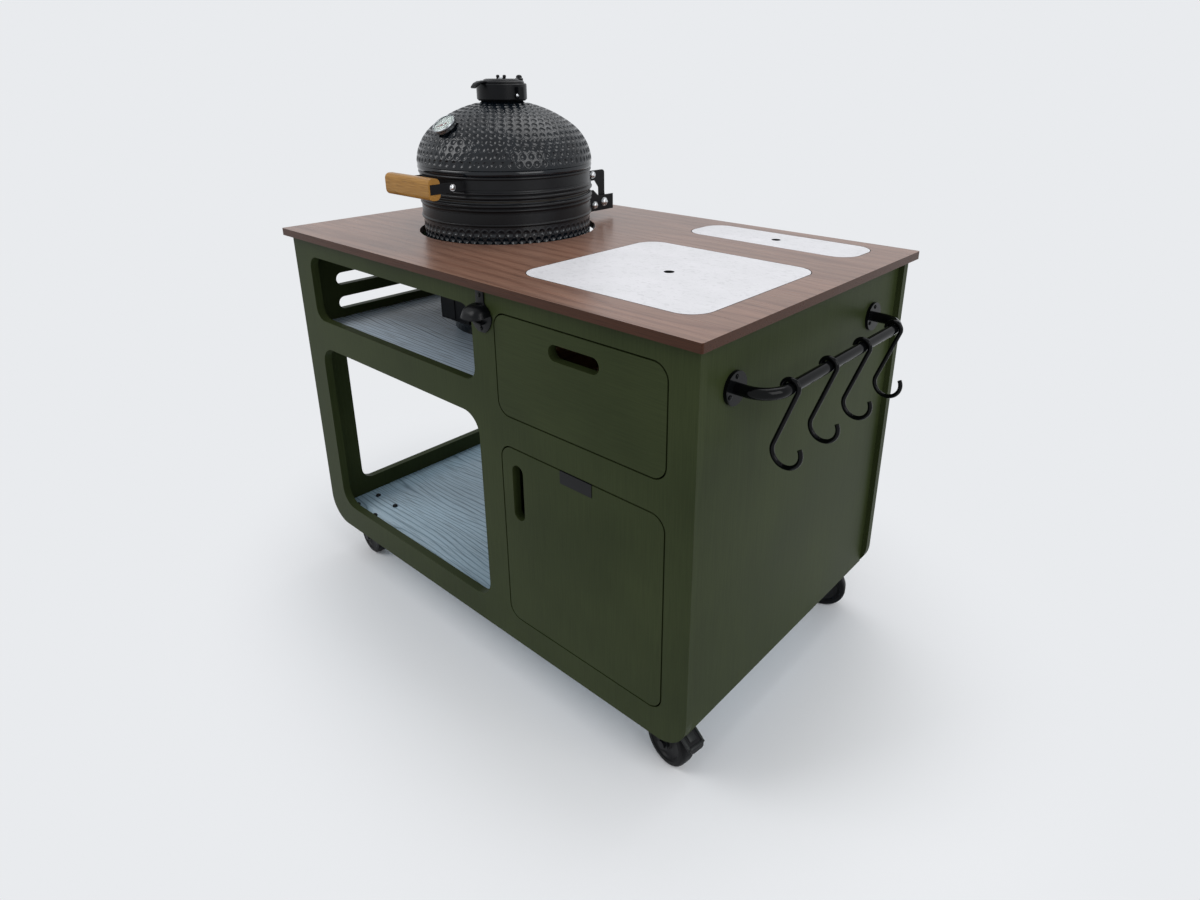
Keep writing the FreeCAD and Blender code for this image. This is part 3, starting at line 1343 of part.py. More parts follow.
def lid_bolts():
    """The lid's bolts: the upper bracket's cross bolt, two for the handle straps and the vent cap's stud."""
    rod = new_body("rod_pattern", is_node=False)
    cross_bolt(rod, "0", "0", "hinge_bolt", LID_ARM_HALF)
    bolt = new_body("strap_bolt_pattern", is_node=False)
    section = new_sketch(bolt, "XZ_Plane")
    edge = "strap_bolt_head_height * 0.3"
    draw_outline(section, [
        ("0", "-strap_sheet - band_sheet"), ("strap_bolt / 2", "-strap_sheet - band_sheet"),
        ("strap_bolt / 2", "0"), ("strap_bolt_head / 2", "0"), ("strap_bolt_head / 2", edge),
        ("0", "strap_bolt_head_height",
         round_cap("strap_bolt_head / 2", "strap_bolt_head_height - " + edge), -1)])
    revolve(bolt, section)
    stud = new_body("stud_pattern", is_node=False)
    shank = new_sketch(stud, "XY_Plane", "-vent_bolt_grip")
    draw_circle(shank, "0", "0", "vent_bolt")
    pad(stud, shank, "vent_bolt_grip + cap_ear_height + 2 * seat_play")
    head = new_sketch(stud, "XY_Plane", "cap_ear_height + 2 * seat_play")
    draw_circle(head, "0", "0", "vent_bolt_head")
    pad(stud, head, "vent_bolt_head_height")
    turn = math.radians(value("handle_bolt_turn"))
    reach = value("strap_outside")
    places = []
    for way in (1, -1):
        place = FreeCAD.Placement(
            FreeCAD.Vector(value("kamado_x") + way * reach * math.sin(turn),
                           value("kamado_y") - reach * math.cos(turn), value("handle_z")),
            FreeCAD.Rotation(FreeCAD.Vector(0, 0, 1), way * math.degrees(turn))
            * FreeCAD.Rotation(FreeCAD.Vector(1, 0, 0), 90))
        places.append(place)
    group("lid_bolts", [
        (rod, [at("kamado_x", "kamado_y + hinge_reach - lid_bolt_back", "hinge_z + lid_bolt_rise")]),
        (bolt, places),
        (stud, [at("kamado_x", "kamado_y + vent_pivot", "collar_low + collar_height")])])


def thermometer_place(body):
    """Sets a body at the thermometer's hole, with its Z axis out of the dome."""
    body.Placement = FreeCAD.Placement(FreeCAD.Vector(), FreeCAD.Rotation(FreeCAD.Vector(1, 0, 0), 1))
    bind(body, ".Placement.Base.y", "table_y + kamado_y - shoulder_x")
    bind(body, ".Placement.Base.z", "rim_z + shoulder_z")
    bind(body, ".Placement.Rotation.Angle", "asin(lean_out)")


def thermometer():
    """A dial in a bezel on a probe that goes through the dome."""
    body = ceramic_body("thermometer", "rim_z")
    thermometer_place(body)
    profile = new_sketch(body, "XZ_Plane")
    draw_outline(profile, [
        ("0", "-probe_length"), ("probe_diameter / 2", "-probe_length + 3"),
        ("probe_diameter / 2", "seat_play"),
        ("bezel_radius - bezel_lip", "seat_play"), ("bezel_radius", "bezel_lip"),
        ("bezel_radius", "bezel_height - bezel_lip / 2"), ("bezel_radius - bezel_lip / 2", "bezel_height"),
        ("bezel_radius - bezel_lip", "bezel_height"), ("bezel_radius - bezel_lip", "bezel_height - dial_depth"),
        ("0", "bezel_height - dial_depth")])
    revolve(body, profile)


def thermometer_needle():
    """The needle at the cold end of its scale, low on the dial's left."""
    body = ceramic_body("thermometer_needle", "rim_z")
    thermometer_place(body)
    outline = new_sketch(body, "XY_Plane")
    outline.AttachmentOffset = FreeCAD.Placement(
        FreeCAD.Vector(), FreeCAD.Rotation(FreeCAD.Vector(0, 0, 1), COLD_TURN))
    bind(outline, ".AttachmentOffset.Base.z", "bezel_height - dial_depth + seat_play")
    draw_outline(outline, [
        ("-needle_width * 0.3", "-needle_tail"), ("needle_width * 0.3", "-needle_tail"), ("needle_width / 2", "0"),
        ("needle_width * 0.06", "needle_length"), ("-needle_width * 0.06", "needle_length"),
        ("-needle_width / 2", "0")])
    pad(body, outline, "needle_sheet")


def vent_collar():
    """The cast ring on the chimney's neck, with the ear that the cap's stud stands in and a clamp lug."""
    body = ceramic_body("vent_collar", "collar_low")
    profile = new_sketch(body, "XZ_Plane")
    inner = "neck_radius + seat_play"
    mouth = "chimney_radius + cap_edge / 3"
    step = "neck_top - collar_low + seat_play"
    draw_outline(profile, [
        ("neck_radius + neck_root", "0"), ("collar_radius - collar_chamfer", "0"),
        ("collar_radius", "collar_chamfer"), ("collar_radius", "collar_height - collar_chamfer / 2"),
        ("collar_radius - collar_chamfer / 2", "collar_height"), (mouth, "collar_height"),
        (mouth, step), (inner, step), (inner, "neck_root")])
    revolve(body, profile)
    ear = new_sketch(body, "XY_Plane", "collar_ear_low")
    draw_circle(ear, "0", "vent_pivot", "vent_ear_width")
    pad(body, ear, "collar_height - collar_ear_low")
    lug = new_sketch(body, "XY_Plane", "collar_lug_low")
    draw_box(lug, "collar_radius - collar_chamfer", "collar_radius + collar_lug",
             "-collar_lug_width / 2", "collar_lug_width / 2")
    pad(body, lug, "collar_lug_height")
    clear = new_sketch(body, "XY_Plane")
    draw_circle(clear, "0", "0", "2 * (%s)" % inner)
    pocket(body, clear, step, is_reversed=True)
    bore = new_sketch(body, "XY_Plane", "collar_height")
    draw_circle(bore, "0", "vent_pivot", "vent_bolt")
    pocket(body, bore, "vent_bolt_grip")


def vent_cap():
    """The swing cap: a stepped disc with six round ports, an ear on the collar's stud and a thumb tab."""
    body = ceramic_body("vent_cap", "cap_low")
    profile = new_sketch(body, "XZ_Plane")
    well = "daisy_radius + cap_edge / 3"
    draw_outline(profile, [
        ("0", "0"), ("cap_radius", "0"), ("cap_radius", "cap_edge / 2"), ("cap_radius - 5", "cap_edge"),
        (well, "cap_edge"), (well, "cap_plate"), ("cap_hub / 2", "cap_plate"),
        ("cap_hub / 2", "cap_hub_height - cap_hub_cap"), ("cap_hub_head / 2", "cap_hub_height - cap_hub_cap"),
        ("cap_hub_head / 2", "cap_hub_height"), ("0", "cap_hub_height")])
    revolve(body, profile)
    ear = new_sketch(body, "XY_Plane")
    draw_circle(ear, "0", "vent_pivot", "vent_ear_width")
    pad(body, ear, "cap_ear_height")
    tab = new_sketch(body, "YZ_Plane", "-cap_tab_width / 2")
    root, bend, tip = "cap_hub_cap - cap_radius", "-cap_radius - cap_hub", "-cap_radius - cap_tab"
    draw_outline(tab, [
        (root, "0"), (bend, "0"), (tip + " + cap_tab_drop / 3", "-cap_tab_drop"),
        (tip, "-0.7 * cap_tab_drop"), (bend, "cap_tab_drop / 2"), (root, "cap_tab_drop / 2")])
    pad(body, tab, "cap_tab_width")
    bore = new_sketch(body, "XY_Plane")
    draw_circle(bore, "0", "vent_pivot", "vent_bolt + 2 * pin_play")
    pocket(body, bore, "cap_ear_height", is_reversed=True)
    port_pattern(body, "cap_plate")


def port_pattern(body, depth):
    """Six round ports on a circle."""
    port = new_sketch(body, "XY_Plane")
    draw_circle(port, "daisy_hole_circle", "0", "daisy_hole")
    first = pocket(body, port, depth, is_reversed=True)
    repeat_round(body, first, port, 6)


def daisy_wheel():
    """The turning disc on the cap, with matching ports and two finger knobs."""
    body = ceramic_body("daisy_wheel", "cap_low + cap_plate + seat_play")
    profile = new_sketch(body, "XZ_Plane")
    bore = "cap_hub / 2 + pin_play"
    draw_outline(profile, [
        (bore, "0"), ("daisy_radius", "0"), ("daisy_radius", "daisy_edge"),
        ("daisy_radius - daisy_thickness", "daisy_thickness"), (bore, "daisy_thickness")])
    revolve(body, profile)
    knobs = new_sketch(body, "XY_Plane", "daisy_thickness")
    for way in (1, -1):
        draw_circle(knobs, "%d * daisy_knob_place" % way, "0", "daisy_knob")
    pad(body, knobs, "daisy_knob_height")
    port_pattern(body, "daisy_thickness")


def firebox():
    """The inner liner: a skirt on the base's floor, a ledge for the charcoal grate and a wide mouth."""
    body = ceramic_body("firebox", "shelf_top + base_floor")
    top = "seam_height - base_floor - firebox_drop"
    shoulder = "belly_height - base_floor"
    ledge = "firebox_foot - grate_ledge_width"
    profile = new_sketch(body, "XZ_Plane")
    draw_outline(profile, [
        ("firebox_foot", "0"), ("firebox_mouth", shoulder), ("firebox_mouth", top),
        ("firebox_mouth - firebox_wall", top), ("firebox_mouth - firebox_wall", shoulder),
        ("firebox_foot", "grate_ledge"), (ledge, "grate_ledge"), (ledge, "0")])
    revolve(body, profile)
    opening = new_sketch(body, "XZ_Plane", "body_radius")
    draw_box(opening, "-draft_width / 2", "draft_width / 2", "-1", "ash_mouth")
    pocket(body, opening, "body_radius")


def charcoal_grate():
    """A cast plate with slots, on the firebox's ledge."""
    body = ceramic_body("charcoal_grate", "shelf_top + base_floor + grate_ledge + seat_play")
    outline = new_sketch(body, "XY_Plane")
    radius = "(firebox_foot - firebox_play / 3)"
    draw_circle(outline, "0", "0", "2 * " + radius)
    for row in GRATE_ROWS:
        draw_slot(outline, "0", "%d * grid_pitch" % row,
                  "1.6 * sqrt(%s ^ 2 - (%d * grid_pitch) ^ 2)" % (radius, row), "grate_slot")
    pad(body, outline, "grate_thickness")


def cooking_grid():
    """A steel ring on the firebox's mouth with bars welded across it."""
    body = ceramic_body("cooking_grid", "shelf_top + seam_height - firebox_drop + seat_play + grid_ring / 2")
    ring = new_sketch(body, "XZ_Plane")
    draw_circle(ring, "grid_radius", "0", "grid_ring")
    revolve(body, ring)
    bars = new_sketch(body, "XY_Plane", "-grid_bar / 2")
    for row in GRID_ROWS:
        across = "%d * grid_pitch" % row
        reach = "sqrt(grid_radius ^ 2 - (%s) ^ 2)" % across
        draw_box(bars, across + " - grid_bar / 2", across + " + grid_bar / 2", "-" + reach, reach)
    pad(body, bars, "grid_bar")


def draft_frame():
    """A sheet-steel tube in the base's opening, half closed in front, with a groove for the sliding door."""
    body = ceramic_body("draft_frame", "shelf_top + draft_sill + draft_height / 2")
    tube = new_sketch(body, "XZ_Plane", "draft_reach - draft_plate")
    half, rise = "draft_width / 2", "draft_height / 2"
    draw_box(tube, "-" + half, half, "-" + rise, rise)
    draw_box(tube, "draft_sheet - " + half, half + " - draft_sheet",
             "draft_sheet - " + rise, rise + " - draft_sheet")
    pad(body, tube, "draft_depth", is_reversed=True)
    face = new_sketch(body, "XZ_Plane", "draft_reach - draft_plate")
    draw_box(face, "-" + half, half, "-" + rise, rise)
    draw_box(face, "0", half + " - draft_sheet", "draft_sheet - " + rise, rise + " - draft_sheet")
    pad(body, face, "draft_plate")
    groove = new_sketch(body, "XZ_Plane", "draft_reach - draft_plate")
    draw_box(groove, "draft_sheet / 2 - " + half, half + " - draft_sheet / 2",
             "draft_sheet / 2 - " + rise, rise + " - draft_sheet / 2")
    pocket(body, groove, "draft_plate + 2 * draft_play")


def draft_door():
    """The sliding plate behind the frame's face, with a knob."""
    body = ceramic_body("draft_door", "shelf_top + draft_sill + draft_height / 2")
    rise = "draft_height / 2 - draft_sheet / 2 - draft_play"
    plate = new_sketch(body, "XZ_Plane", "draft_reach - 2 * draft_plate - draft_play")
    draw_box(plate, "-1", "draft_width / 2 - draft_sheet / 2 - draft_play", "-(%s)" % rise, rise)
    pad(body, plate, "draft_plate")
    knob = new_sketch(body, "XZ_Plane", "draft_reach - draft_plate - draft_play")
    draw_circle(knob, "draft_width / 2 - draft_knob", "0", "draft_knob")
    pad(body, knob, "draft_knob_length")


# The whole assembly

front_frame()
end_frame("back_frame", "back_face - board", False)
left_side_panel()
right_side_panel()
divider_panel()
shelf_board("middle_shelf", "-side_in", "divider_left", "shelf_top - board")
shelf_board("drawer_deck", "divider_right", "side_in", "deck_top - board")
bottom_shelf()
tabletop()
worktop_lid("large_lid", "large_lid_middle", "large_lid_depth")
worktop_lid("small_lid", "small_lid_middle", "small_lid_depth")
drawer_front()
drawer_box()
runner_outer_rails()
runner_inner_rails()
runner_batten()
door_panel()
door_pins()
door_clip()
door_catch()
towel_rail()
for number, place in enumerate(("56", "181", "306", "439"), 1):
    hook("hook_%d" % number, place)
bottle_opener()
wood_screws()
castor_plates()
castor_bolts()
for name, side, end, turn in castor_places():
    castor_fork(name, side, end, turn)
    castor_wheel(name, side, end, turn)
    if end < 0:
        castor_brake(name, side, end, turn)
kamado_base()
clamp_band("lower_band", "seam_z", -1)
handle_bolt_holes(clamp_band("upper_band", "rim_z", 1), "handle_rise")
gasket()
dome_shell()
handle_straps()
handle_bar()
hinge_bracket_lower()
hinge_bracket_upper()
hinge_hardware()
lid_bolts()
thermometer()
thermometer_needle()
vent_collar()
vent_cap()
daisy_wheel()
firebox()
charcoal_grate()
cooking_grid()
draft_frame()
draft_door()
doc.recompute()

faults = [item.Label for item in doc.Objects if "Invalid" in item.State or "Error" in item.State]
faults += [node.Label for node in nodes
           if node.Shape.isNull() or not node.Shape.isValid() or node.Shape.Volume <= 0]
faults += [feature.Label for feature in cuts
           if feature.BaseFeature and feature.Shape.Volume > feature.BaseFeature.Shape.Volume - 0.01]
if faults:
    raise RuntimeError("these did not build: " + ", ".join(faults))
for node in nodes:
    node.Shape.exportStep("parts/%s.step" % node.Label)
print(len(nodes), "sub-parts written")
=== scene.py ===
import math
import bmesh
import bpy
import numpy as np
from mathutils import Matrix, Vector


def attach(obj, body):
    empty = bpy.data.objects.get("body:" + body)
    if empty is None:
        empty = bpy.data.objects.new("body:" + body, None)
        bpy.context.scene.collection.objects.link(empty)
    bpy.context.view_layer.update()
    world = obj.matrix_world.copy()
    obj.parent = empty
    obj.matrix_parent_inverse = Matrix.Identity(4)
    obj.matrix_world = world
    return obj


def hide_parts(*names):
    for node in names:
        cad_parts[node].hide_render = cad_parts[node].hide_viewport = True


# A kamado grill table: an olive cabinet on castors, a walnut worktop and a black glazed kamado.
# Blender's lengths are metres in the frame of the solids. The sizes written here are millimetres, times MM.

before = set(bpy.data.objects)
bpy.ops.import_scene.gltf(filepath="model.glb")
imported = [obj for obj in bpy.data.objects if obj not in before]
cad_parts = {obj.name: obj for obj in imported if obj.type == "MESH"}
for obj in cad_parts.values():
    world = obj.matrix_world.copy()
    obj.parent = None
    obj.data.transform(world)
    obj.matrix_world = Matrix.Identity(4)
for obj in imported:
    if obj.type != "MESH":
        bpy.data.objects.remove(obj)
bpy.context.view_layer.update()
MM = 0.001


# Colours and nodes

def srgb(text):
    """The linear colour of an sRGB hex value."""
    parts = [int(text[place:place + 2], 16) / 255 for place in (0, 2, 4)]
    linear = [part / 12.92 if part <= 0.04045 else ((part + 0.055) / 1.055) ** 2.4 for part in parts]
    return (*linear, 1.0)


def set_inputs(tree, shader, values):
    """Gives a node's inputs their values, or links them to outputs of other nodes."""
    for word, given in values.items():
        if isinstance(given, bpy.types.NodeSocket):
            tree.links.new(given, shader.inputs[word])
        else:
            shader.inputs[word].default_value = given


def node(tree, kind, inputs=None, **settings):
    """Adds a node with its settings and its inputs."""
    made = tree.nodes.new("ShaderNode" + kind)
    for word, setting in settings.items():
        setattr(made, word, setting)
    set_inputs(tree, made, inputs or {})
    return made


def sized(tree, size):
    """Object coordinates in steps of a size in millimetres: one length, or one each for X, Y and Z."""
    lengths = size if isinstance(size, tuple) else (size, size, size)
    coordinates = node(tree, "TexCoord").outputs["Object"]
    return node(tree, "Mapping", {"Vector": coordinates,
                                  "Scale": tuple(1 / (length * MM) for length in lengths)}).outputs["Vector"]


def noise(tree, size, detail, **more):
    """Noise with patches of a real size in millimetres."""
    return node(tree, "TexNoise", {"Vector": sized(tree, size), "Scale": 1.0, "Detail": detail,
                                   **more}).outputs["Fac"]


def ramp(tree, value, *stops):
    """Colours by a value. Each stop is a place and an sRGB hex value or a linear level of grey."""
    made = node(tree, "ValToRGB", {"Fac": value})
    elements = made.color_ramp.elements
    while len(elements) < len(stops):
        elements.new(0.5)
    for element, (place, colour) in zip(elements, stops):
        element.position = place
        element.color = srgb(colour) if isinstance(colour, str) else (colour, colour, colour, 1.0)
    return made.outputs["Color"]


def remap(tree, value, low, high, top=1.0, **settings):
    """A value from 0 to a top one spread between two numbers."""
    return node(tree, "MapRange", {"Value": value, "From Max": top, "To Min": low, "To Max": high},
                **settings).outputs["Result"]


def maths(tree, operation, *terms):
    """A sum on one, two or three values."""
    return node(tree, "Math", dict(enumerate(terms)), operation=operation).outputs["Value"]


def mix(tree, factor, first, second, **settings):
    """Two colours or values mixed by a factor."""
    return node(tree, "Mix", {"Factor": factor, "A": first, "B": second}, **settings).outputs["Result"]


def multiply(tree, *colours):
    """The product of several colours."""
    product = colours[0]
    for colour in colours[1:]:
        product = mix(tree, 1.0, product, colour, data_type="RGBA", blend_type="MULTIPLY")
    return product


def bump(tree, height, depth, strength, under=None):
    """A bump of a real depth in millimetres, on top of another one."""
    inputs = {"Height": height, "Distance": depth * MM, "Strength": strength}
    if under is not None:
        inputs["Normal"] = under
    return node(tree, "Bump", inputs).outputs["Normal"]


def upward_face(tree):
    """How far a face looks up, from -1 to 1."""
    normal = node(tree, "NewGeometry").outputs["Normal"]
    return node(tree, "SeparateXYZ", {"Vector": normal}).outputs["Z"]


def growth_lines(tree, length, width, spacing, swirl, knot):
    """Growth rings cut lengthwise: lines along X at a spacing, bent into arches and knots."""
    drift = noise(tree, (length, width, width), 2.5, Roughness=0.45)
    across = node(tree, "SeparateXYZ", {"Vector": sized(tree, spacing)})
    rings = maths(tree, "ADD", across.outputs["Y"], across.outputs["Z"])
    arched = maths(tree, "MULTIPLY_ADD", drift, swirl, rings)
    eyes = node(tree, "TexVoronoi", {"Vector": sized(tree, (length * 0.6, width, width)), "Scale": 1.0})
    near = remap(tree, eyes.outputs["Distance"], knot, 0.0, 0.42, interpolation_type="SMOOTHSTEP")
    return maths(tree, "PINGPONG", maths(tree, "ADD", arched, near), 0.5)


# Materials

def new_material(name):
    """A material and its node tree."""
    material = bpy.data.materials.new(name)
    material.use_nodes = True
    return material, material.node_tree


def set_looks(tree, colour, rough, normal, gloss=0.5, **more):
    """Sets the looks of a material's Principled shader."""
    set_inputs(tree, tree.nodes["Principled BSDF"], {
        "Base Color": colour, "Roughness": rough, "IOR": 1.5, "Specular IOR Level": gloss, "Normal": normal,
        **more})


def lacquered_board(name, pore):
    """Veneered board sprayed with olive lacquer: satin, with pores of a real size faintly showing through."""
    material, tree = new_material(name)
    pores = noise(tree, pore, 3.0, Roughness=0.6)
    clouds = noise(tree, 260, 3.0)
    tint = ramp(tree, clouds, (0.3, "2C341C"), (0.7, "353D23"))
    grained = ramp(tree, pores, (0.35, 0.84), (0.62, 1.0))
    veneer = bump(tree, pores, 0.25, 0.35)
    set_looks(tree, multiply(tree, tint, grained), remap(tree, clouds, 0.38, 0.48),
              bump(tree, noise(tree, 0.9, 1.0), 0.05, 0.35, veneer), 0.07)
    return material


def brushed_shelf_with_painted_light(name, ring, worn, soft_wood):
    """Brushed pine, stained and lacquered: soft wood worn back between raised dark growth rings, in colours
    lifted and blued with painted sky reflection and painted light.
    """
    material, tree = new_material(name)
    rings = growth_lines(tree, 640, 130, 12.0, 8.0, 3.5)
    pores = noise(tree, (70, 2.4, 2.4), 3.0)
    ground = ramp(tree, rings, (0.015, ring), (0.12, worn), (0.5, soft_wood))
    shading = ramp(tree, noise(tree, (300, 120, 120), 2.0), (0.3, 0.84), (0.7, 1.0))
    fine = ramp(tree, pores, (0.34, 0.66), (0.48, 1.0))
    set_looks(tree, multiply(tree, ground, shading, fine), remap(tree, rings, 0.42, 0.24, 0.5),
              bump(tree, pores, 0.3, 0.5, bump(tree, rings, 0.7, 0.5)))
    return material


def walnut_board(name):
    """Oiled walnut: long streaks along the top, a dark red-brown edge, a soft sheen."""
    material, tree = new_material(name)
    figure = growth_lines(tree, 900, 120, 34.0, 5.0, 1.0)
    streaks = noise(tree, (180, 5.0, 5.0), 5.0, Roughness=0.7, Distortion=0.25)
    fibres = noise(tree, (60, 1.5, 1.5), 3.0, Roughness=0.6)
    ground = ramp(tree, figure, (0.02, "7A5747"), (0.2, "886453"), (0.5, "8F6B59"))
    grain = multiply(tree, ramp(tree, streaks, (0.3, 0.72), (0.45, 0.9), (0.62, 1.0)),
                     ramp(tree, fibres, (0.3, 0.62), (0.52, 1.0)))
    shading = ramp(tree, noise(tree, (420, 70, 70), 3.0), (0.3, 0.8), (0.7, 1.0))
    flat = maths(tree, "GREATER_THAN", upward_face(tree), 0.6)
    colour = mix(tree, flat, multiply(tree, srgb("44291C"), grain), multiply(tree, ground, grain, shading),
                 data_type="RGBA")
    set_looks(tree, colour, remap(tree, streaks, 0.36, 0.22),
              bump(tree, fibres, 0.12, 0.5, bump(tree, streaks, 0.25, 0.5)), remap(tree, flat, 0.15, 0.5),
              IOR=1.47)
    return material


def pale_laminate(name):
    """Compact laminate: a pale pressed face, faintly clouded and satin, with every face that is not level
    painted near-black: painted shade for the gap round each lid and down its finger holes.
    """
    material, tree = new_material(name)
    creases = noise(tree, (11, 7, 7), 5.0, Roughness=0.62, Distortion=0.8)
    colour = ramp(tree, noise(tree, 70, 5.0, Roughness=0.6), (0.25, "D3D3D6"), (0.75, "DEDDE1"))
    pressed_face = multiply(tree, colour, ramp(tree, creases, (0.36, 0.86), (0.46, 1.0)))
    # Painted shade: edges, bevels and hole walls, any face tilted a little from level, turn near-black.
    flat = maths(tree, "GREATER_THAN", maths(tree, "ABSOLUTE", upward_face(tree)), 0.985)
    set_looks(tree, mix(tree, flat, srgb("1A1B1C"), pressed_face, data_type="RGBA"),
              remap(tree, creases, 0.30, 0.46), bump(tree, creases, 0.45, 0.5))
    return material


def black_glaze(name):
    """Fired black glaze on stoneware: deep gloss that is a little uneven, as the glaze has run."""
    material, tree = new_material(name)
    clouds = noise(tree, 60, 3.0)
    set_looks(tree, ramp(tree, clouds, (0.3, "090D12"), (0.7, "10161C")), remap(tree, clouds, 0.07, 0.14),
              bump(tree, noise(tree, (9, 9, 14), 2.0), 0.25, 0.3), 0.36)
    return material


def sprayed_metal(name, low, high, smoothest, roughest, grain, depth, gloss=0.25):
    """Painted steel or iron: one dark colour with the skin that the paint leaves, from enamel to cast."""
    material, tree = new_material(name)
    clouds = noise(tree, 45, 4.0)
    set_looks(tree, ramp(tree, clouds, (0.3, low), (0.7, high)), remap(tree, clouds, smoothest, roughest),
              bump(tree, noise(tree, grain, 2.0), depth, 0.5), gloss)
    return material


def plated_steel(name, low, high, smoothest, roughest):
    """Zinc or chrome plate on steel: bright metal with faint blooms and fine rolling lines."""
    material, tree = new_material(name)
    blooms = noise(tree, 12, 4.0)
    set_looks(tree, ramp(tree, blooms, (0.3, low), (0.7, high)), remap(tree, blooms, smoothest, roughest),
              bump(tree, noise(tree, (30, 1.0, 1.0), 2.0), 0.03, 0.4), Metallic=1.0)
    return material


def laminated_bamboo(name):
    """Bamboo strips glued side by side and lacquered: fine fibres, and each strip a tone of its own."""
    material, tree = new_material(name)
    strips = node(tree, "TexVoronoi", {"Vector": sized(tree, (4000, 7, 400)), "Scale": 1.0,
                                       "Randomness": 0.0})
    each_strip = node(tree, "SeparateColor", {"Color": strips.outputs["Color"]}).outputs["Red"]
    fibres = noise(tree, (45, 0.9, 0.9), 3.0)
    ground = ramp(tree, fibres, (0.3, "7E561C"), (0.5, "9E712E"), (0.72, "B58845"))
    dusk = ramp(tree, noise(tree, (26, 9, 9), 1.0), (0.28, 0.78), (0.42, 1.0))
    set_looks(tree, multiply(tree, ground, ramp(tree, each_strip, (0.0, 0.86), (1.0, 1.0)), dusk), 0.32,
              bump(tree, fibres, 0.08, 0.5), 0.25)
    return material


def birch_ply(name):
    """Birch plywood: pale faces with a slow figure along the boards."""
    material, tree = new_material(name)
    figure = noise(tree, (26, 520, 26), 4.0, Roughness=0.6, Distortion=0.6)
    fibres = noise(tree, (1.4, 60, 1.4), 3.0)
    colour = multiply(tree, ramp(tree, figure, (0.3, "BF976A"), (0.68, "D3B087")),
                      ramp(tree, fibres, (0.3, 0.84), (0.65, 1.0)))
    set_looks(tree, colour, 0.5, bump(tree, fibres, 0.1, 0.4), 0.3)
    return material


def dull_solid(name, low, high, rough, grain, depth):
    """Rubber, felt or raw fireclay: matt, with a grain of one real size."""
    material, tree = new_material(name)
    skin = noise(tree, grain, 3.0)
    both = mix(tree, 0.5, skin, noise(tree, 40, 4.0), data_type="FLOAT")
    set_looks(tree, ramp(tree, both, (0.35, low), (0.65, high)), rough, bump(tree, skin, depth, 0.6), 0.12)
    return material


def clear_glass(name):
    """Clear glass with faint smears that break its gloss."""
    material, tree = new_material(name)
    set_inputs(tree, tree.nodes["Principled BSDF"], {
        "Base Color": srgb("F2F7F5"), "Roughness": remap(tree, noise(tree, 14, 3.0), 0.0, 0.05), "IOR": 1.5,
        "Transmission Weight": 1.0})
    return material


olive_upright = lacquered_board("olive lacquer, upright veneer", (2.2, 2.2, 90))
olive_lengthwise = lacquered_board("olive lacquer, lengthwise veneer", (90, 2.2, 2.2))
# Painted light: both shelves are one dark finish. The blue-grey is painted sky reflection, and the middle
# shelf is a copy painted paler for the light falling on it.
shelf_pine_painted_sky_reflection = brushed_shelf_with_painted_light("brushed pine, painted blue-grey sky reflection", "708896", "9CB5C4", "B0C8D6")
pale_pine_painted_light = brushed_shelf_with_painted_light("brushed pine, painted light and blue-grey sky reflection", "5E7082", "BACEE0", "D2E2F0")
walnut = walnut_board("oiled walnut")
laminate = pale_laminate("pale compact laminate, edges painted with gap shade")
glaze = black_glaze("black stoneware glaze")
powder_coat = sprayed_metal("black powder-coated steel", "0A0B0D", "101114", 0.38, 0.50, 0.7, 0.05, 0.16)
enamel = sprayed_metal("black enamelled steel", "060708", "0A0B0C", 0.08, 0.14, 6.0, 0.02, 0.12)
painted_iron = sprayed_metal("black painted cast iron", "08090B", "0D0E11", 0.24, 0.36, 1.4, 0.06, 0.14)
zinc = plated_steel("zinc-plated steel", "B4B7B9", "D6D8D9", 0.18, 0.32)
chrome = plated_steel("polished steel", "C4C6C8", "DADCDD", 0.06, 0.12)
bezel_steel = plated_steel("brushed bezel steel", "84888B", "9CA0A3", 0.16, 0.26)
bamboo = laminated_bamboo("laminated bamboo")
birch = birch_ply("birch plywood")
tyre_rubber = dull_solid("solid rubber", "08090A", "0E0F11", 0.48, 0.8, 0.06)
felt = dull_solid("gasket felt", "2E2C29", "403D39", 0.95, 0.6, 0.3)
fireclay = dull_solid("raw fireclay", "A58B6C", "C0A687", 0.92, 0.9, 0.2)
band_paint = sprayed_metal("black stoved band paint", "0A0B0D", "101114", 0.26, 0.36, 0.9, 0.03, 0.22)
pedal_paint = sprayed_metal("charcoal pressed pedal", "101413", "181D1C", 0.26, 0.38, 0.8, 0.03, 0.25)
red_paint = sprayed_metal("red needle paint", "8E1710", "A31C13", 0.25, 0.32, 1.0, 0.01)
nylon = sprayed_metal("black moulded nylon", "0A0B0C", "111214", 0.36, 0.48, 1.0, 0.04, 0.2)
dial_enamel = sprayed_metal("white dial enamel", "D8DEDC", "E4E8E6", 0.30, 0.38, 2.0, 0.01)
dial_ink_and_socket_shade = sprayed_metal("black dial ink, also painted socket shade", "1C1E20", "26282A", 0.50, 0.60, 1.0, 0.01)
glass = clear_glass("lens glass")


# Finishes of the carried-over solids

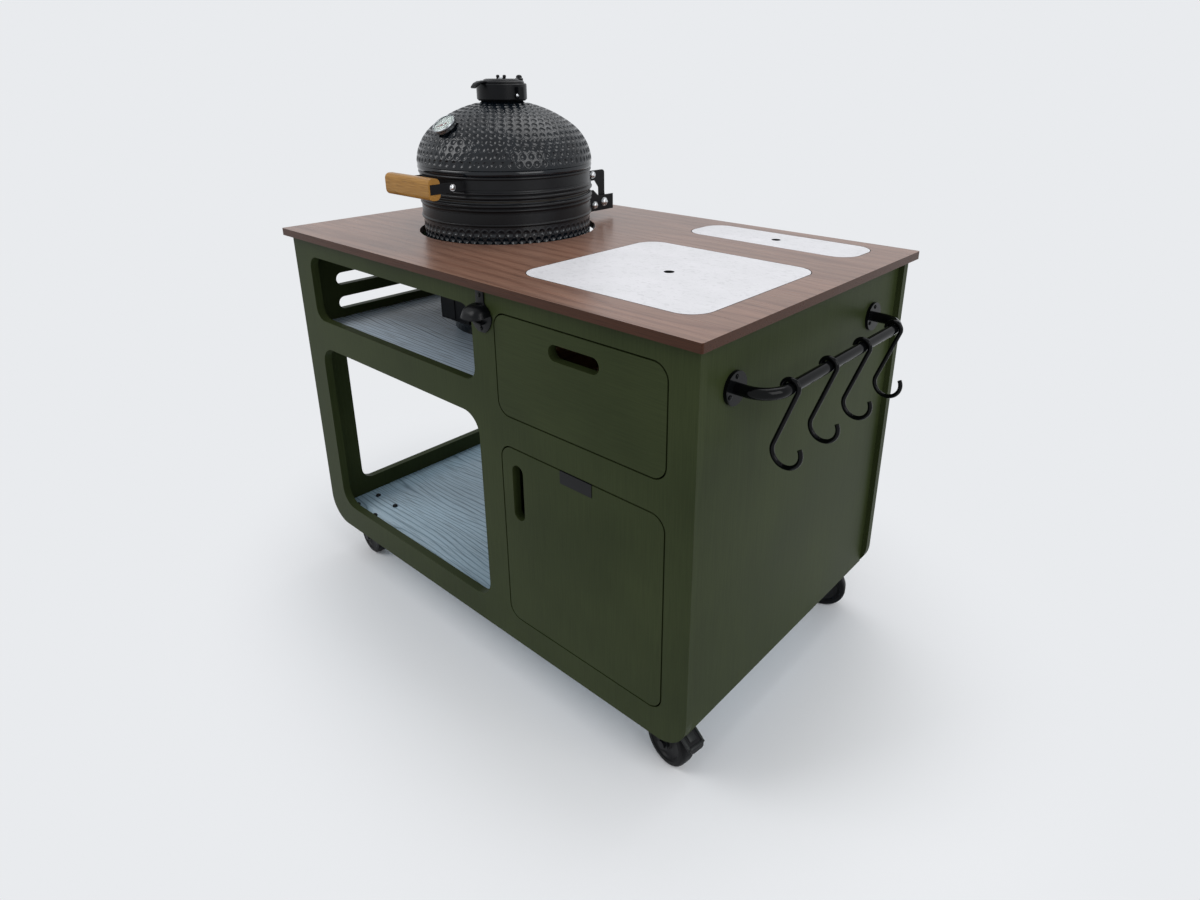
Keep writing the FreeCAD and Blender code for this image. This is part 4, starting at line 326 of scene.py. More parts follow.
FINISHES = {
    olive_upright: ["front_frame", "back_frame", "divider_panel", "door_panel", "left_side_panel",
                    "right_side_panel"],
    olive_lengthwise: ["drawer_front"],
    shelf_pine_painted_sky_reflection: ["drawer_deck", "bottom_shelf"],
    pale_pine_painted_light: ["middle_shelf"],
    walnut: ["tabletop"],
    laminate: ["large_lid", "small_lid"],
    birch: ["drawer_box", "runner_batten"],
    zinc: ["runner_outer_rails", "runner_inner_rails", "door_pins", "cooking_grid", "hinge_hardware",
           "lid_bolts"],
    powder_coat: ["door_clip", "door_catch", "lower_band", "upper_band", "handle_straps",
                  "hinge_bracket_lower", "hinge_bracket_upper", "draft_frame", "draft_door", "castor_plates",
                  "castor_bolts"],
    enamel: ["towel_rail", "hook_1", "hook_2", "hook_3", "hook_4", "wood_screws"],
    painted_iron: ["bottle_opener", "vent_collar", "vent_cap", "daisy_wheel", "charcoal_grate"],
    glaze: ["dome_shell", "kamado_base"],
    bamboo: ["handle_bar"],
    felt: ["gasket"],
    fireclay: ["firebox"],
    chrome: ["thermometer"],
    red_paint: ["thermometer_needle"],
    tyre_rubber: [],
}
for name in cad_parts:
    if name.startswith(("castor_fork", "brake_pedal")):
        FINISHES[powder_coat].append(name)
    if name.startswith("castor_wheel"):
        FINISHES[tyre_rubber].append(name)

for material, names in FINISHES.items():
    for name in names:
        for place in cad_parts[name].material_slots:
            place.link = "OBJECT"
            place.material = material


FLAT_WITHIN = math.radians(1)
SHARP_FROM = math.radians(40)


def soften(name, width):
    """Rounds the sharp edges of a carried-over solid by a real width in millimetres."""
    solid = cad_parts[name]
    flatten = solid.modifiers.new("flat faces", "DECIMATE")
    flatten.decimate_type = "DISSOLVE"
    flatten.angle_limit = FLAT_WITHIN
    bevel = solid.modifiers.new("soft edges", "BEVEL")
    bevel.width = width * MM
    bevel.segments = 3
    bevel.limit_method = "ANGLE"
    bevel.angle_limit = SHARP_FROM
    bevel.harden_normals = True


SOFT_EDGES = {
    3.0: ["front_frame", "back_frame", "drawer_front", "door_panel"],
    1.5: ["handle_bar", "firebox"],
    1.2: ["tabletop", "towel_rail", "bottom_shelf", "middle_shelf"],
    1.4: ["large_lid", "small_lid"],
    1.0: ["vent_collar", "hinge_bracket_lower", "hinge_bracket_upper", "drawer_box"],
    0.6: ["vent_cap", "daisy_wheel", "handle_straps", "charcoal_grate", "draft_frame",
          "draft_door", "castor_plates", "door_clip"],
}
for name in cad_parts:
    if name.startswith(("castor_fork", "brake_pedal")):
        SOFT_EDGES[0.6].append(name)
for width, names in SOFT_EDGES.items():
    for name in names:
        soften(name, width)


# Meshes

def add_object(name, data):
    made = bpy.data.objects.new(name, data)
    bpy.context.scene.collection.objects.link(made)
    return made


def add_mesh(name, points, faces, material=None):
    mesh = bpy.data.meshes.new(name)
    mesh.from_pydata([tuple(point) for point in points], [], [tuple(face) for face in faces])
    mesh.update()
    if material is not None:
        mesh.materials.append(material)
    return add_object(name, mesh)


def at(x, y, z, *turns):
    """A place in millimetres, turned by (degrees, axis) pairs one after the other."""
    place = Matrix.Translation((x * MM, y * MM, z * MM))
    for degrees, axis in turns:
        place = place @ Matrix.Rotation(math.radians(degrees), 4, axis)
    return place


def shade(made, place, sharp):
    """Puts a mesh in its place, with smooth faces except at edges sharper than an angle."""
    mesh = made.data
    tidy = bmesh.new()
    tidy.from_mesh(mesh)
    bmesh.ops.remove_doubles(tidy, verts=tidy.verts, dist=1e-6)
    bmesh.ops.recalc_face_normals(tidy, faces=tidy.faces)
    tidy.to_mesh(mesh)
    tidy.free()
    mesh.polygons.foreach_set("use_smooth", [True] * len(mesh.polygons))
    mesh.set_sharp_from_angle(angle=math.radians(sharp))
    made.matrix_world = place
    return made


def turned(name, profile, place, material, columns=72):
    """A closed profile of (radius, height) in millimetres turned round the Z axis of a place."""
    count = len(profile)
    turns = [2 * math.pi * (column + 0.5) / columns for column in range(columns)]
    points = [(radius * math.cos(turn) * MM, radius * math.sin(turn) * MM, height * MM)
              for turn in turns for radius, height in profile]
    faces = []
    for column in range(columns):
        here, after = column * count, (column + 1) % columns * count
        for step in range(count):
            above = (step + 1) % count
            corners = [here + step, after + step, after + above, here + above]
            if profile[step][0] == 0:
                corners.remove(after + step)
            if profile[above][0] == 0:
                corners.remove(after + above)
            if len(corners) > 2:
                faces.append(corners)
    return shade(add_mesh(name, points, faces, material), place, 30)


def rod(name, radius, low, high, place, material, columns):
    """A plain round rod between two heights."""
    return turned(name, [(0, low), (radius, low), (radius, high), (0, high)], place, material, columns)


def hexagon(width, low, high):
    """The profile of a chamfered nut, by its width over the flats, for six columns."""
    corner = width / math.sqrt(3)
    bevel = width * 0.06
    return [(0, low), (corner - bevel, low), (corner, low + bevel), (corner, high - bevel),
            (corner - bevel, high), (0, high)]


def pressed(name, outline, low, high, place, material, edge):
    """An outline in millimetres, thick from one height to another, with rounded edges."""
    shape = bmesh.new()
    corners = [shape.verts.new((x * MM, y * MM, low * MM)) for x, y in outline]
    face = shape.faces.new(corners)
    raised = bmesh.ops.extrude_face_region(shape, geom=[face])["geom"]
    bmesh.ops.translate(shape, vec=(0, 0, (high - low) * MM),
                        verts=[item for item in raised if isinstance(item, bmesh.types.BMVert)])
    bmesh.ops.recalc_face_normals(shape, faces=shape.faces)
    rims = [item for item in shape.edges if abs(item.verts[0].co.z - item.verts[1].co.z) < 1e-9]
    bmesh.ops.bevel(shape, geom=rims, offset=edge * MM, segments=3, affect="EDGES", profile=0.5)
    mesh = bpy.data.meshes.new(name)
    shape.to_mesh(mesh)
    shape.free()
    mesh.materials.append(material)
    return shade(add_object(name, mesh), place, 40)


def wire(name, path, radius, place, material, sides=10):
    """A round wire along points in millimetres, with closed ends."""
    path = [Vector(point) * MM for point in path]
    way = (path[1] - path[0]).normalized()
    side = way.orthogonal().normalized()
    points = []
    for index, point in enumerate(path):
        ahead = path[min(index + 1, len(path) - 1)] - path[max(index - 1, 0)]
        side = (side - ahead.normalized() * side.dot(ahead.normalized())).normalized()
        up = ahead.normalized().cross(side)
        for step in range(sides):
            turn = 2 * math.pi * step / sides
            points.append(point + (side * math.cos(turn) + up * math.sin(turn)) * radius * MM)
    faces = [(ring * sides + step, ring * sides + (step + 1) % sides,
              (ring + 1) * sides + (step + 1) % sides, (ring + 1) * sides + step)
             for ring in range(len(path) - 1) for step in range(sides)]
    faces += [range(sides), range((len(path) - 1) * sides, len(path) * sides)]
    return shade(add_mesh(name, points, faces, material), place, 50)


def merge(name, parts):
    """One piece from several meshes, each with its own material."""
    with bpy.context.temp_override(active_object=parts[0], selected_editable_objects=parts):
        bpy.ops.object.join()
    parts[0].name = name
    return parts[0]


def cut(made, cutter):
    """Cuts one mesh out of another and removes the cutter."""
    change = made.modifiers.new("opening", "BOOLEAN")
    change.object = cutter
    change.solver = "EXACT"
    bpy.context.view_layer.update()
    finished = bpy.data.meshes.new_from_object(made.evaluated_get(bpy.context.evaluated_depsgraph_get()))
    made.modifiers.clear()
    made.data = finished
    bpy.data.objects.remove(cutter)


def settle_on(piece, body, slot, *stands_for):
    """Hands a finished piece to its body and hides the solids that it stands for. Its slot is not used."""
    if stands_for:
        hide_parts(*stands_for)
    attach(piece, body)


# Dimpled ceramic shells

KAMADO_X = -261.5
KAMADO_Y = -4.0
SHELF_TOP = 650.0
RIM = 967.5
BODY_RADIUS = 190
DOME_CENTRE = (0, RIM - 62.5)
SHOULDER_CENTRE = (91, RIM + 58)
BELLY_HEIGHT = SHELF_TOP + 238
DIMPLE_PITCH = 17.6
DIMPLE_RADIUS = 6.6
DIMPLE_DEPTH = 2.1
DISH_SHAPE = 2.4
RING_HEIGHT = 0.55
RING_GAP = 0.5
RING_WIDTH = 0.9
SHELL_COLUMNS = 800
OUT_OF_REACH = 99.0


def on_axis(x, y, z, *turns):
    """A place in millimetres from the kamado's axis and the floor, turned like any other."""
    return at(KAMADO_X + x, KAMADO_Y + y, z, *turns)


def arc_points(centre, radius, start, end, count):
    """Points (radius, height) along an arc between two angles in degrees."""
    return [(centre[0] + radius * math.cos(turn), centre[1] + radius * math.sin(turn))
            for turn in np.radians(np.linspace(start, end, count))]


def dimple_depth(distance):
    """The height of the skin by the distance from a dimple's middle: a dish inside a low ring."""
    dish = -DIMPLE_DEPTH * (1 - np.clip(distance / DIMPLE_RADIUS, 0, 1) ** DISH_SHAPE)
    ring = RING_HEIGHT * np.exp(-((distance - DIMPLE_RADIUS - RING_GAP) / RING_WIDTH) ** 2)
    return dish + ring


def turned_shell(name, profile, dimpled, material):
    """A closed shell turned round the kamado's axis, dimpled between two points of its profile."""
    profile = np.array(profile, float)
    turns = np.arange(SHELL_COLUMNS) * 2 * math.pi / SHELL_COLUMNS
    way = np.roll(profile, -1, 0) - np.roll(profile, 1, 0)
    normal = np.stack([way[:, 1], -way[:, 0]], 1)
    normal /= np.linalg.norm(normal, axis=1)[:, None]
    steps = np.linalg.norm(np.diff(profile, axis=0), axis=1)
    along = np.concatenate([[0], np.cumsum(steps)])
    first, last = dimpled
    row_pitch = DIMPLE_PITCH * math.sqrt(3) / 2
    rows = int((along[last] - along[first]) / row_pitch)
    margin = (along[last] - along[first] - rows * row_pitch) / 2
    lift = np.zeros((len(profile), SHELL_COLUMNS))
    for point in range(first, last + 1):
        nearest = np.full(SHELL_COLUMNS, OUT_OF_REACH)
        guess = int((along[point] - along[first] - margin) / row_pitch)
        for row in range(max(guess - 1, 0), min(guess + 2, rows)):
            level = along[first] + margin + (row + 0.5) * row_pitch
            middle = np.interp(level, along, profile[:, 0])
            count = round(2 * math.pi * middle / DIMPLE_PITCH)
            phase = turns * count / (2 * math.pi) + 0.5 * (row % 2)
            aside = (phase - np.round(phase)) * 2 * math.pi / count * profile[point, 0]
            nearest = np.minimum(nearest, np.hypot(aside, along[point] - level))
        lift[point] = dimple_depth(nearest)
    radius = profile[:, :1] + normal[:, :1] * lift
    height = profile[:, 1:] + normal[:, 1:] * lift
    points = np.stack([radius * np.cos(turns), radius * np.sin(turns), height], 2).reshape(-1, 3) * MM
    points += np.array([KAMADO_X, KAMADO_Y, 0]) * MM
    below = np.arange(len(profile))[:, None] * SHELL_COLUMNS
    above = np.roll(below, -1, 0)
    here = np.arange(SHELL_COLUMNS)[None, :]
    after = np.roll(here, -1, 1)
    faces = np.stack([below + here, below + after, above + after, above + here], 2).reshape(-1, 4)
    shell = add_mesh(name, points, faces, material)
    shell.data.polygons.foreach_set("use_smooth", [True] * len(faces))
    shell.data.set_sharp_from_angle(angle=math.radians(50))
    return shell


def dimpled_dome():
    """The kamado's lid: a smooth bead at its belt, dimples up to the neck, and a smooth lining."""
    belt = [(BODY_RADIUS, RIM), (BODY_RADIUS, RIM + 49), (193, RIM + 50.2), (195.2, RIM + 52.5),
            (196, RIM + 56), (195.4, RIM + 59.5), (194.2, RIM + 61.2)]
    shoulder = arc_points(SHOULDER_CENTRE, 105, 2.6, 52.9, 66)
    crown = arc_points(DOME_CENTRE, 256, 52.9, 78.6, 78)
    neck = [(47, RIM + 190.5), (44.6, RIM + 193.5), (44, RIM + 197), (44, RIM + 217.5), (32, RIM + 217.5)]
    lining = (arc_points(DOME_CENTRE, 236, 82.2, 52.9, 12) + arc_points(SHOULDER_CENTRE, 85, 50, 0, 12)
              + [(170, RIM)])
    dimpled = (len(belt) + 1, len(belt) + len(shoulder) + len(crown) - 3)
    return turned_shell("dome", belt + shoulder + crown[1:] + neck + lining, dimpled, glaze)


def dimpled_base():
    """The kamado's lower half: a smooth foot, a dimpled belly and a plain rim behind its band."""
    foot = [(118, SHELF_TOP + 0.05), (140, SHELF_TOP + 0.05), (140, SHELF_TOP + 14)]
    belly = arc_points((-336.8, BELLY_HEIGHT), 526.8, -25.15, 0, 144)
    wall = [(BODY_RADIUS, height) for height in np.linspace(BELLY_HEIGHT, BELLY_HEIGHT + 22, 15)[1:]]
    lining = ([(BODY_RADIUS, SHELF_TOP + 313.5), (168, SHELF_TOP + 313.5)]
              + arc_points((-325, BELLY_HEIGHT), 493, 0, -24.4, 24))
    dimpled = (len(foot) + 3, len(foot) + len(belly) + len(wall) - 2)
    return turned_shell("base", foot + belly + wall + lining, dimpled, glaze)


def box_cutter(low, high):
    """A box in millimetres from the kamado's axis and the floor."""
    corners = [((KAMADO_X + x) * MM, (KAMADO_Y + y) * MM, z * MM)
               for z in (low[2], high[2]) for y in (low[1], high[1]) for x in (low[0], high[0])]
    sides = [(0, 2, 3, 1), (4, 5, 7, 6), (0, 1, 5, 4), (2, 6, 7, 3), (0, 4, 6, 2), (1, 3, 7, 5)]
    return add_mesh("cutter", corners, sides)


# Thermometer

DIAL = on_axis(0, -154.27, 1109.29, (37.06, "X"))
DIAL_FACE = 9.12
COLD_TURN = 125.0
DIAL_STEPS = 51
DIAL_STEP = 5


def thermometer():
    """A steel bezel on its probe, an enamel dial with its scale, and a slightly domed lens."""
    bezel = turned("thermometer_bezel", [
        (0, -60), (2.5, -60), (4, -58), (4, 0.3), (21, 0.3), (24, 1.2), (25.4, 3.2), (25.7, 8), (26.6, 9),
        (27, 10.6), (26.8, 12.4), (26.2, 13.6), (25.4, 14), (24.9, 13.6), (24.6, 12.6), (24.6, 9), (0, 9)],
        DIAL, bezel_steel, 96)
    settle_on(bezel, "kamado_lid", "dial_steel", "thermometer")
    dial = turned("thermometer_dial", [(0, 9), (24.5, 9), (24.5, 9.1), (0, 9.1)], DIAL, dial_enamel)
    settle_on(dial, "kamado_lid", "dial_steel")
    marks = []
    for step in range(DIAL_STEPS):
        turn = math.radians(90 + COLD_TURN - DIAL_STEP * step)
        inner, half = (16, 0.42) if step % 10 == 0 else (18.6, 0.22)
        along = Vector((math.cos(turn), math.sin(turn)))
        aside = Vector((-along.y, along.x)) * half
        outer = along * 21.6
        marks.append([along * inner - aside, outer - aside, outer + aside, along * inner + aside])
    points = [(corner.x * MM, corner.y * MM, DIAL_FACE * MM) for mark in marks for corner in mark]
    faces = [range(4 * mark, 4 * mark + 4) for mark in range(len(marks))]
    scale = add_mesh("thermometer_scale", points, faces, dial_ink_and_socket_shade)
    scale.matrix_world = DIAL
    settle_on(scale, "kamado_lid", "dial_steel")
    lens = turned("thermometer_lens", [
        (0, 11.8), (24.5, 11), (24.5, 12.2), (18, 12.8), (10, 13.2), (0, 13.3)], DIAL, glass, 96)
    settle_on(lens, "kamado_lid", "dial_steel")
    hub = turned("needle_hub", [(0, 9.3), (3.2, 9.3), (3.2, 10.5), (2.4, 11), (0, 11.1)], DIAL, chrome, 32)
    settle_on(hub, "needle", "dial_steel")


# Clamp bands

SEAM = 965.5
BAND_FACE = 192.2
BAND_BACK = 190.5
BEAD_STEPS = 8


def bead(low, high, rise):
    """A rounded bead on a band's face between two heights."""
    return [(BAND_FACE + rise * math.sin(math.pi * step / BEAD_STEPS) ** 0.6,
             low + (high - low) * step / BEAD_STEPS) for step in range(1, BEAD_STEPS)]


def clamp_band(name, way):
    """A rolled band, from the seam outwards: two beads, a groove, a flat strip and an edge bead."""
    profile = ([(BAND_BACK, 4), (192.8, 4)] + bead(4.3, 13, 4.4) + [(192.9, 13.2), (192.9, 14)]
               + bead(14, 20.4, 2.6) + [(192, 20.6), (191.6, 21.4), (191.6, 24.4), (BAND_FACE, 25)]
               + [(BAND_FACE, 45)] + bead(45, 51.6, 2.4) + [(BAND_FACE, 52), (BAND_BACK, 52)])
    return turned(name, [(radius, way * height) for radius, height in profile], on_axis(0, 0, SEAM),
                  band_paint, 256)


# Top vent

STUD_BACK = 52
PORT_RING = 26


def port_cutter(low, high):
    """Six round ports in a ring, as one cutter over the kamado's axis."""
    places = [on_axis(PORT_RING * math.cos(turn), PORT_RING * math.sin(turn), 0)
              for turn in np.radians(range(0, 360, 60))]
    return merge("cutter", [rod("hole", 7, low, high, place, painted_iron, 40) for place in places])


def vent():
    """The rain cap with its beak and ear, and the daisy wheel with its two knobs."""
    axis, stud = on_axis(0, 0, 0), on_axis(0, STUD_BACK, 0)
    cap = turned("vent_rain_cap", [
        (3.5, 1196.3), (49.2, 1196.3), (50, 1197.1), (50, 1198.6), (48.6, 1200.4), (45.6, 1202),
        (43.6, 1202.1), (42.2, 1201.2), (42, 1200.3), (3.5, 1200.3)], axis, painted_iron, 128)
    cut(cap, port_cutter(1190, 1210))
    beak = pressed("beak", [
        (-42, 1200.8), (-52, 1202), (-63, 1201.2), (-73, 1197), (-79, 1190.6), (-80, 1187.6), (-77.6, 1186.5),
        (-70, 1191), (-61, 1195.6), (-52, 1197.4), (-42, 1197.4)],
        -8, 8, on_axis(0, 0, 0, (90, "Z"), (90, "X")), painted_iron, 1.6)
    ear = turned("ear", [
        (3.1, 1196.4), (8.6, 1196.4), (9, 1196.9), (9, 1205.4), (8.2, 1206.3), (3.1, 1206.3)], stud,
        painted_iron, 48)
    web = pressed("web", [(-8.5, 40), (8.5, 40), (8.5, 52), (-8.5, 52)], 1196.6, 1203.5, axis,
                  painted_iron, 1.5)
    cut(web, rod("cutter", 6, 1190, 1212, stud, painted_iron, 32))
    post = turned("post", [
        (0, 1200), (3.9, 1200), (3.9, 1206), (6.4, 1206), (6.4, 1207.4), (4.6, 1208.3), (0, 1208.3)], axis,
        chrome, 48)
    settle_on(merge("vent_rain_cap", [cap, beak, ear, web, post]), "vent_cap", "black_iron", "vent_cap")
    daisy = turned("vent_daisy_wheel", [
        (4.1, 1200.7), (39.4, 1200.7), (40, 1201.4), (39.6, 1203), (37.2, 1204.5), (33.5, 1205.5),
        (13, 1205.7), (11, 1205.6), (10, 1204.8), (4.1, 1204.8)], axis, painted_iron, 128)
    cut(daisy, port_cutter(1190, 1215))
    knobs = [turned("knob", [
        (0, 1204), (3.2, 1204), (3, 1207), (3.7, 1209), (3.8, 1211.4), (3, 1213), (1.4, 1213.6), (0, 1213.6)],
        on_axis(x, 0, 0), painted_iron, 36) for x in (-11, 11)]
    settle_on(merge("vent_daisy_wheel", [daisy] + knobs), "daisy_wheel", "black_iron", "daisy_wheel")


# Hinge and bolts

HINGE_BACK = 250
HINGE_Z = 916
STRAP_TURN = 15.4
STRAP_RADIUS = 195.3
STRAP_Z = 999


def bolt_across(name, y, z, radius, half, nut):
    """A bolt along X between two capped nuts with washers, outside a pair of cheeks."""
    place = on_axis(0, y, z, (90, "Y"))
    parts = [turned(name, [(0, -half - 5), (radius - 1, -half - 5), (radius, -half - 4), (radius, half + 4),
                           (radius - 1, half + 5), (0, half + 5)], place, chrome, 32)]
    for low, high in ((half, half + 1.2), (-half - 1.2, -half)):
        parts.append(rod("washer", nut * 0.62, low, high, place, chrome, 40))
    for way in (1, -1):
        outward = place @ Matrix.Rotation(math.radians(90 - 90 * way), 4, "X")
        dome = [(nut * 0.44 * math.cos(turn), half + 4.4 + nut * 0.2 * math.sin(turn))
                for turn in np.radians(range(0, 91, 15))]
        parts.append(turned("nut", hexagon(nut, half + 1.2, half + 5), outward, chrome, 6))
        parts.append(turned("cap", [(0, half + 4)] + dome, outward, chrome, 36))
    return parts


def coil_spring(way):
    """A wound spring on the hinge pin with a straight leg at each end."""
    windings, steps, pitch, radius = 9, 24, 3.4, 7.3
    coil = []
    for step in range(windings * steps + 1):
        turn = 2 * math.pi * step / steps
        coil.append((way * (22 + pitch * step / steps), radius * math.cos(turn), radius * math.sin(turn)))
    start, end = coil[0], coil[-1]
    path = [(start[0], start[1], start[2] - 20)] + coil + [(end[0], end[1], end[2] + 22)]
    return wire("spring", path, 1.5, on_axis(0, HINGE_BACK, HINGE_Z), zinc)


def domed_bolt(name, width, rise, washer, place, material, recess):
    """A domed head, on a washer if it has one, with a hexagon recess as a darker inset: a thin black hexagon,
    painted shade standing in for the socket's hollow.
    """
    curve = [(0, rise)] + [(width / 2 * math.sin(turn), rise * 0.3 + rise * 0.7 * math.cos(turn))
                           for turn in np.radians(range(15, 91, 15))]
    seat = [(washer / 2, 0), (washer / 2, 1), (width / 2, 1)] if washer else [(width / 2, 0)]
    head = turned(name, [(0, -0.5)] + seat + curve[::-1], place, material, 40)
    if recess:
        # Painted shade: a thin black hexagon where the socket's hollow would lie in shadow.
        socket_shade = turned("recess", [(0, rise - 0.2), (recess / 2, rise - 0.2), (recess / 2, rise + 0.12),
                                 (recess / 2 - 0.4, rise - 0.05), (0, rise - 0.05)], place, dial_ink_and_socket_shade, 6)
        return [head, socket_shade]
    return [head]


def hinge_bolts():
    """The hinge pin with its springs and the lower cross bolt."""
    parts = bolt_across("pin", HINGE_BACK, HINGE_Z, 5, 74, 17)
    parts += bolt_across("bolt", HINGE_BACK - 34, HINGE_Z - 5, 4, 74, 14)
    parts += [coil_spring(1), coil_spring(-1)]
    settle_on(merge("hinge_pin_and_springs", parts), "table", "bright_steel", "hinge_hardware")


def kamado_lid_bolts():
    """The upper bracket's cross bolt, the strap bolts, the collar's clamp bolt and the vent cap's stud."""
    parts = bolt_across("bolt", HINGE_BACK - 35, HINGE_Z + 68, 4, 68, 14)
    aside = STRAP_RADIUS * math.sin(math.radians(STRAP_TURN))
    ahead = STRAP_RADIUS * math.cos(math.radians(STRAP_TURN))
    for way in (1, -1):
        place = on_axis(way * aside, -ahead, STRAP_Z, (way * STRAP_TURN, "Z"), (90, "X"))
        parts += domed_bolt("strap_bolt", 11, 5, 13, place, chrome, 3.5)
    for way in (1, -1):
        parts += domed_bolt("side_bolt", 11, 5, 14, on_axis(way * 76.5, -208, STRAP_Z, (90 * way, "Y")),
                            chrome, 3.5)
    parts += domed_bolt("stud", 13.5, 6.6, 0, on_axis(0, STUD_BACK, 1206.8), painted_iron, 0)
    parts.append(rod("shank", 3, 1184, 1207, on_axis(0, STUD_BACK, 0), zinc, 32))
    parts += domed_bolt("clamp_bolt", 8, 3.4, 10, on_axis(59, -7, 1172, (90, "X")), chrome, 3)
    settle_on(merge("lid_bolt_set", parts), "kamado_lid", "bright_steel", "lid_bolts")


# Screws of the towel rail and the opener

SIDE_FACE = 543.5
RAIL_X = 604.5
RAIL_Z = 769
RAIL_ENDS = (-245, 244)
SCREW_RING = 20
OPENER_X = 64
OPENER_Z = 812


def board_screws():
    """Round-headed screws in the towel rail's flanges and in the opener."""
    places = [at(SIDE_FACE, end + SCREW_RING * math.cos(turn), RAIL_Z + SCREW_RING * math.sin(turn),
                 (90, "Y")) for end in RAIL_ENDS for turn in np.radians((90, 210, 330))]
    places += [at(OPENER_X, -355, OPENER_Z + rise, (90, "X")) for rise in (38, -25)]
    parts = []
    for place in places:
        parts += domed_bolt("screw", 8, 2.4, 0, place, enamel, 3.4)
    settle_on(merge("screw_heads", parts), "table", "black_gloss_steel", "wood_screws")


# Hooks

HOOK_PLACES = (-189, -64, 61, 194)
HOOK_WIRE = 8.2


def hook_path():
    """The hook's middle line from its rail loop to its tip, as (out, up) from the rail's middle."""
    small, large = 10.3 + HOOK_WIRE / 2, 30 - HOOK_WIRE / 2
    shift, drop = 2, 111
    lean = math.degrees(math.atan2(-drop, shift) - math.asin((small + large) / math.hypot(shift, drop)))
    return (arc_points((0, 0), small, 180, lean + 90, 28)
            + arc_points((shift, -drop), large, lean + 270, 388, 44))


def rail_hook(number, place):
    """An S-hook of bent wire, hung on the rail."""
    path = [(out, 0, up) for out, up in hook_path()]
    hook = wire("wire_hook_%d" % number, path, HOOK_WIRE / 2, at(RAIL_X, place, RAIL_Z), enamel, 20)
    settle_on(hook, "hook_%d" % number, "black_gloss_steel", "hook_%d" % number)


# Castors, each with its place and its turn in degrees

CASTORS = {"front_right": (443.5, -289, -8), "front_left": (-516.5, -289, 176),
           "back_right": (443.5, 307, 22), "back_left": (-516.5, 307, 158)}
AXLE = at(30, 0, 50, (90, "X"))
SHELF_FACE = 150


def castor_wheel(name, place):
    """A solid tyre on a dished nylon hub with a raised bush."""
    axle = place @ AXLE
    tyre = turned("tyre", [
        (36.5, -15), (38, -16), (43, -16), (46.5, -15), (48.8, -12.4), (49.8, -8), (50, 0), (49.8, 8),
        (48.8, 12.4), (46.5, 15), (43, 16), (38, 16), (36.5, 15)], axle, tyre_rubber, 96)
    face = [(5.2, 16), (9.6, 16), (10.4, 15.2), (13.4, 14.6), (14.6, 13.4), (16, 10.6), (19, 9.6), (30, 9.6),
            (33, 10.8), (34.6, 13), (35.4, 14.2), (37, 14.4)]
    hub = turned("hub", [(radius, -height) for radius, height in face] + face[::-1], axle, nylon, 96)
    settle_on(merge("wheel_" + name, [tyre, hub]), "wheel_" + name, "wheel_rubber", "castor_wheel_" + name)


def castor_trim(name, place):
    """The axle's nut and head on the fork, outside both cheeks."""
    parts = [turned("axle_nut", hexagon(14.5, low, high), place @ AXLE, powder_coat, 6)
             for low, high in ((20.4, 25.6), (-25.6, -20.4))]
    settle_on(merge("axle_ends_" + name, parts), "fork_" + name, "black_steel")


def pedal_tread(name, place):
    """The brake pedal's raised border and pad, and its folded tip."""
    slope = place @ at(81.2, 0, 95.8, (34.3, "Y"))
    bars = [(-20.5, 15, 20.5, 19, 2.6), (-20.5, -19, 20.5, -15, 2.6), (16.5, -19, 20.5, 19, 2.6),
            (-20.5, -19, -16.5, 19, 2.6), (-9, -8, 9, 8, 1.4)]
    parts = [pressed("bar", [(x0, y0), (x1, y0), (x1, y1), (x0, y1)], -1, rise, slope, pedal_paint, 0.7)
             for x0, y0, x1, y1, rise in bars]
    fold = slope @ at(20.5, 0, 0, (52, "Y"))
    parts.append(pressed("tip", [(-3, -17), (9, -13), (11, -8), (11, 12), (8, 17), (-3, 17)], -3, 0.6, fold,
                         nylon, 0.9))
    settle_on(merge("pedal_tread_" + name, parts), "brake_" + name, "black_steel")


def shelf_bolts():
    """Domed bolts through the bottom shelf, with nuts under the castor plates."""
    spots = [(x + across, y + along) for x, y, _ in CASTORS.values()
             for across in (-40, 40) for along in (-30, 30)]
    parts = []
    for x, y in spots:
        parts += domed_bolt("bolt", 13, 5.5, 0, at(x, y, SHELF_FACE), powder_coat, 0)
        parts.append(rod("shank", 4, 122.5, SHELF_FACE, at(x, y, 0), zinc, 24))
        parts.append(turned("nut", hexagon(13, 123, 129), at(x, y, 0), powder_coat, 6))
    settle_on(merge("castor_bolt_set", parts), "table", "black_steel", "castor_bolts")


# Bottle opener

def leaf_outline():
    """The opener's plate: a narrow neck, two shoulders, a pointed tail."""
    right = [(11, 50), (11, 24), (17, 19), (24, 11), (28.5, 3), (30, -2), (28.5, -10), (24, -19), (17, -27),
             (9, -32)]
    return right + [(-x, y) for x, y in reversed(right)]


